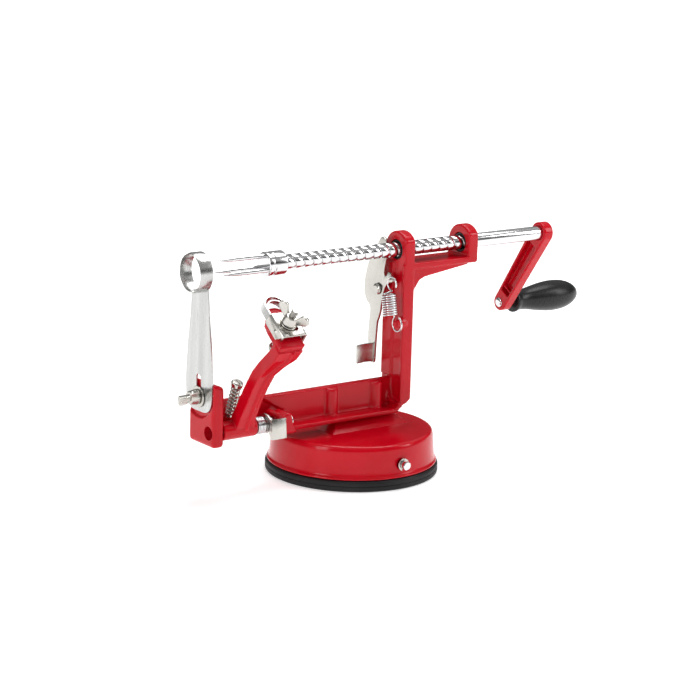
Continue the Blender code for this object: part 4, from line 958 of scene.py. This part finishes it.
# ------------------------------------------------------------------ corer and slicer
# A stainless strap, fluted to stiffen it and slotted at its foot, with a sharp ring
# on the shaft's line. The ring cores the fruit and the strap's edge slices it.

strap_back = -104.5
strap_thick = 0.9
ring_r = (10.3, 11.1)
widths = flowing([(48.6, 0.0), (48.65, 5.0), (49.4, 8.2), (51.4, 10.8), (55.0, 12.4), (61.8, 13.2),
                  (70.0, 12.9), (84.0, 11.6), (100.0, 9.4), (110.0, 8.4), (117.6, 7.6)], 6)
columns = 36
front = []
for z, width in widths:
    line = []
    for column_index in range(columns + 1):
        u = -1 + 2 * column_index / columns
        strength = min(max((z - 58) / 14, 0), 1) * min(max((118 - z) / 16, 0), 1)
        flute = 0.75 * strength * (math.cos(3 * math.pi * u) * 0.5 + 0.5) * (1 - u * u)
        line.append((strap_back - strap_thick - flute, u * max(width, 0.05), z))
    front.append(line)
points = [point for line in front for point in line]
back_start = len(points)
points += [(x + strap_thick, y, z) for x, y, z in points]
faces = []
rows_count = len(front)
wide = columns + 1
for r in range(rows_count - 1):
    for c in range(columns):
        i = r * wide + c
        faces.append((i, i + 1, i + wide + 1, i + wide))
        faces.append((back_start + i, back_start + i + wide, back_start + i + wide + 1, back_start + i + 1))
for r in range(rows_count - 1):
    for i in (r * wide, r * wide + columns):
        faces.append((i, i + wide, back_start + i + wide, back_start + i))
for c in range(columns):
    for i in (c, (rows_count - 1) * wide + c):
        faces.append((i, i + 1, back_start + i + 1, back_start + i))
strap = solid("fluted_strap", points, faces)
slot_outline = arc((0, corer_z - 2.4), 2.3, 180, 360, 20) + arc((0, 67.2), 2.3, 0, 180, 20)
carve(strap, prism("slot", slot_outline, "X", (-110, -100)))
edge = [(ring_r[0], -7.2), (ring_r[0] + 0.12, -7.4), (ring_r[1], -5.6), (ring_r[1], 0.3), (ring_r[0], 0.3)]
carve(strap, rod("bore", ring_r[0] + 0.2, (-120, 0, shaft_z), (-90, 0, shaft_z), 96))
weld(strap, turned("edge", edge, (strap_back, 0, shaft_z), (1, 0, 0), 96))
fit(smooth(strap, 40), blade_steel, "corer", "blade_steel", "corer_strap")

# ------------------------------------------------------------------ corer bolt and wing nut
# Plated bolt from inside the front block, with a washer and a wing nut on the
# strap's outer face. Loosened, they let the strap slide on its slot.

tip_x, head_x = (corner.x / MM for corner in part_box("corer_bolt"))
corer_head = rounded([(0, 0), (3.6, 0), (3.6, 2.2), (1.6, 2.2), (1.6, 4.0), (0, 4.0)], 0.4)
corer_bolt = turned("corer_screw", corer_head, (head_x, 0, corer_z), (-1, 0, 0), 48)
shank = thread("shank", 1.9, 0.8, 0.32, (head_x - 3, 0, corer_z), (-1, 0, 0), head_x - 3 - tip_x, 32)
weld(corer_bolt, shank)
fit(smooth(corer_bolt, 30), plated, "base", "plated_steel", "corer_bolt")
washer_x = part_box("corer_washer")[1].x / MM
corer_washer = washer("corer_ring_washer", (washer_x, 0, corer_z), (-1, 0, 0), 6.0)
fit(corer_washer, plated, "base", "plated_steel", "corer_washer")
nut_at = (washer_x - 1.1, 0, corer_z)
corer_nut = placed(wing_nut("corer_wings", 0.0, 6.8, 8.0), nut_at, (-1, 0, 0), 125)
fit(corer_nut, plated, "corer_nut", "plated_steel", "corer_wing_nut")

# ------------------------------------------------------------------ studio
# White table that brightens with distance, a sky that is white low down with a dark
# band above it for the steel to mirror, three softboxes, and a long lens from the
# front left, a little above the shaft.

table = surface("white_table", ((0.84, 0.84, 0.84), (0.86, 0.86, 0.86)), 0.0,
                (0.55, 0.65), 200, 0.02, shine=0.1)
table_shader = table.node_tree.nodes["Principled BSDF"]
table_shader.inputs["Emission Color"].default_value = (1, 1, 1, 1)
nodes = table.node_tree.nodes
links = table.node_tree.links
where = nodes.new("ShaderNodeTexCoord")
reach_out = nodes.new("ShaderNodeVectorMath")
reach_out.operation = "LENGTH"
glow = nodes.new("ShaderNodeMapRange")
glow.inputs["From Min"].default_value = 0.3
glow.inputs["From Max"].default_value = 1.1
glow.inputs["To Min"].default_value = 0.5
glow.inputs["To Max"].default_value = 1.0
links.new(where.outputs["Object"], reach_out.inputs[0])
links.new(reach_out.outputs["Value"], glow.inputs["Value"])
links.new(glow.outputs["Result"], table_shader.inputs["Emission Strength"])
half_table = 9000
table_z = -0.2
table_corners = ((-1, -1), (1, -1), (1, 1), (-1, 1))
floor = solid("table", [(x * half_table, y * half_table, table_z) for x, y in table_corners], [(0, 1, 2, 3)])
floor.data.materials.append(table)

world = bpy.data.worlds.new("studio")
bpy.context.scene.world = world
world.use_nodes = True
sky = world.node_tree.nodes
direction = sky.new("ShaderNodeTexCoord")
parts_of = sky.new("ShaderNodeSeparateXYZ")
height = sky.new("ShaderNodeValToRGB")
world.node_tree.links.new(direction.outputs["Generated"], parts_of.inputs["Vector"])
world.node_tree.links.new(parts_of.outputs["Z"], height.inputs["Fac"])
world.node_tree.links.new(height.outputs["Color"], sky["Background"].inputs["Color"])
height.color_ramp.elements[0].position = 0.0
height.color_ramp.elements[0].color = (0.90, 0.90, 0.90, 1)
height.color_ramp.elements[1].position = 1.0
height.color_ramp.elements[1].color = (0.45, 0.45, 0.45, 1)
for position, grey in ((0.05, 0.9), (0.12, 0.10), (0.34, 0.07), (0.50, 0.55)):
    step = height.color_ramp.elements.new(position)
    step.color = (grey, grey, grey, 1)
sky["Background"].inputs["Strength"].default_value = 0.8


def softbox(name, place, target, size, power):
    """A flat rectangular lamp that faces its target."""
    lamp = bpy.data.lights.new(name, "AREA")
    lamp.shape = "RECTANGLE"
    lamp.size, lamp.size_y = size
    lamp.energy = power
    obj = bpy.data.objects.new(name, lamp)
    obj.location = place
    obj.rotation_mode = "QUATERNION"
    obj.rotation_quaternion = (Vector(target) - Vector(place)).to_track_quat("-Z", "Y")
    bpy.context.scene.collection.objects.link(obj)


softbox("top_box", (0.35, 0.15, 1.2), (0, 0, 0.05), (1.0, 0.6), 10)
softbox("left_box", (-1.6, -0.3, 0.7), (0, 0, 0.08), (0.5, 1.0), 8)
softbox("right_box", (1.2, -1.0, 0.8), (0, 0, 0.08), (0.4, 0.9), 7)

eye = bpy.data.cameras.new("camera")
eye.lens = 116.0
eye.sensor_width = 36.0
camera = bpy.data.objects.new("camera", eye)
right = Vector((0.80370, -0.59446, 0.02632))
up = Vector((0.11751, 0.20191, 0.97233))
back = right.cross(up)
basis = Matrix((right, up, back)).transposed().to_4x4()
camera.matrix_world = Matrix.Translation((-0.7554, -1.0040, 0.3698)) @ basis
bpy.context.scene.collection.objects.link(camera)
bpy.context.scene.camera = camera
bpy.context.scene.view_settings.view_transform = "Standard"
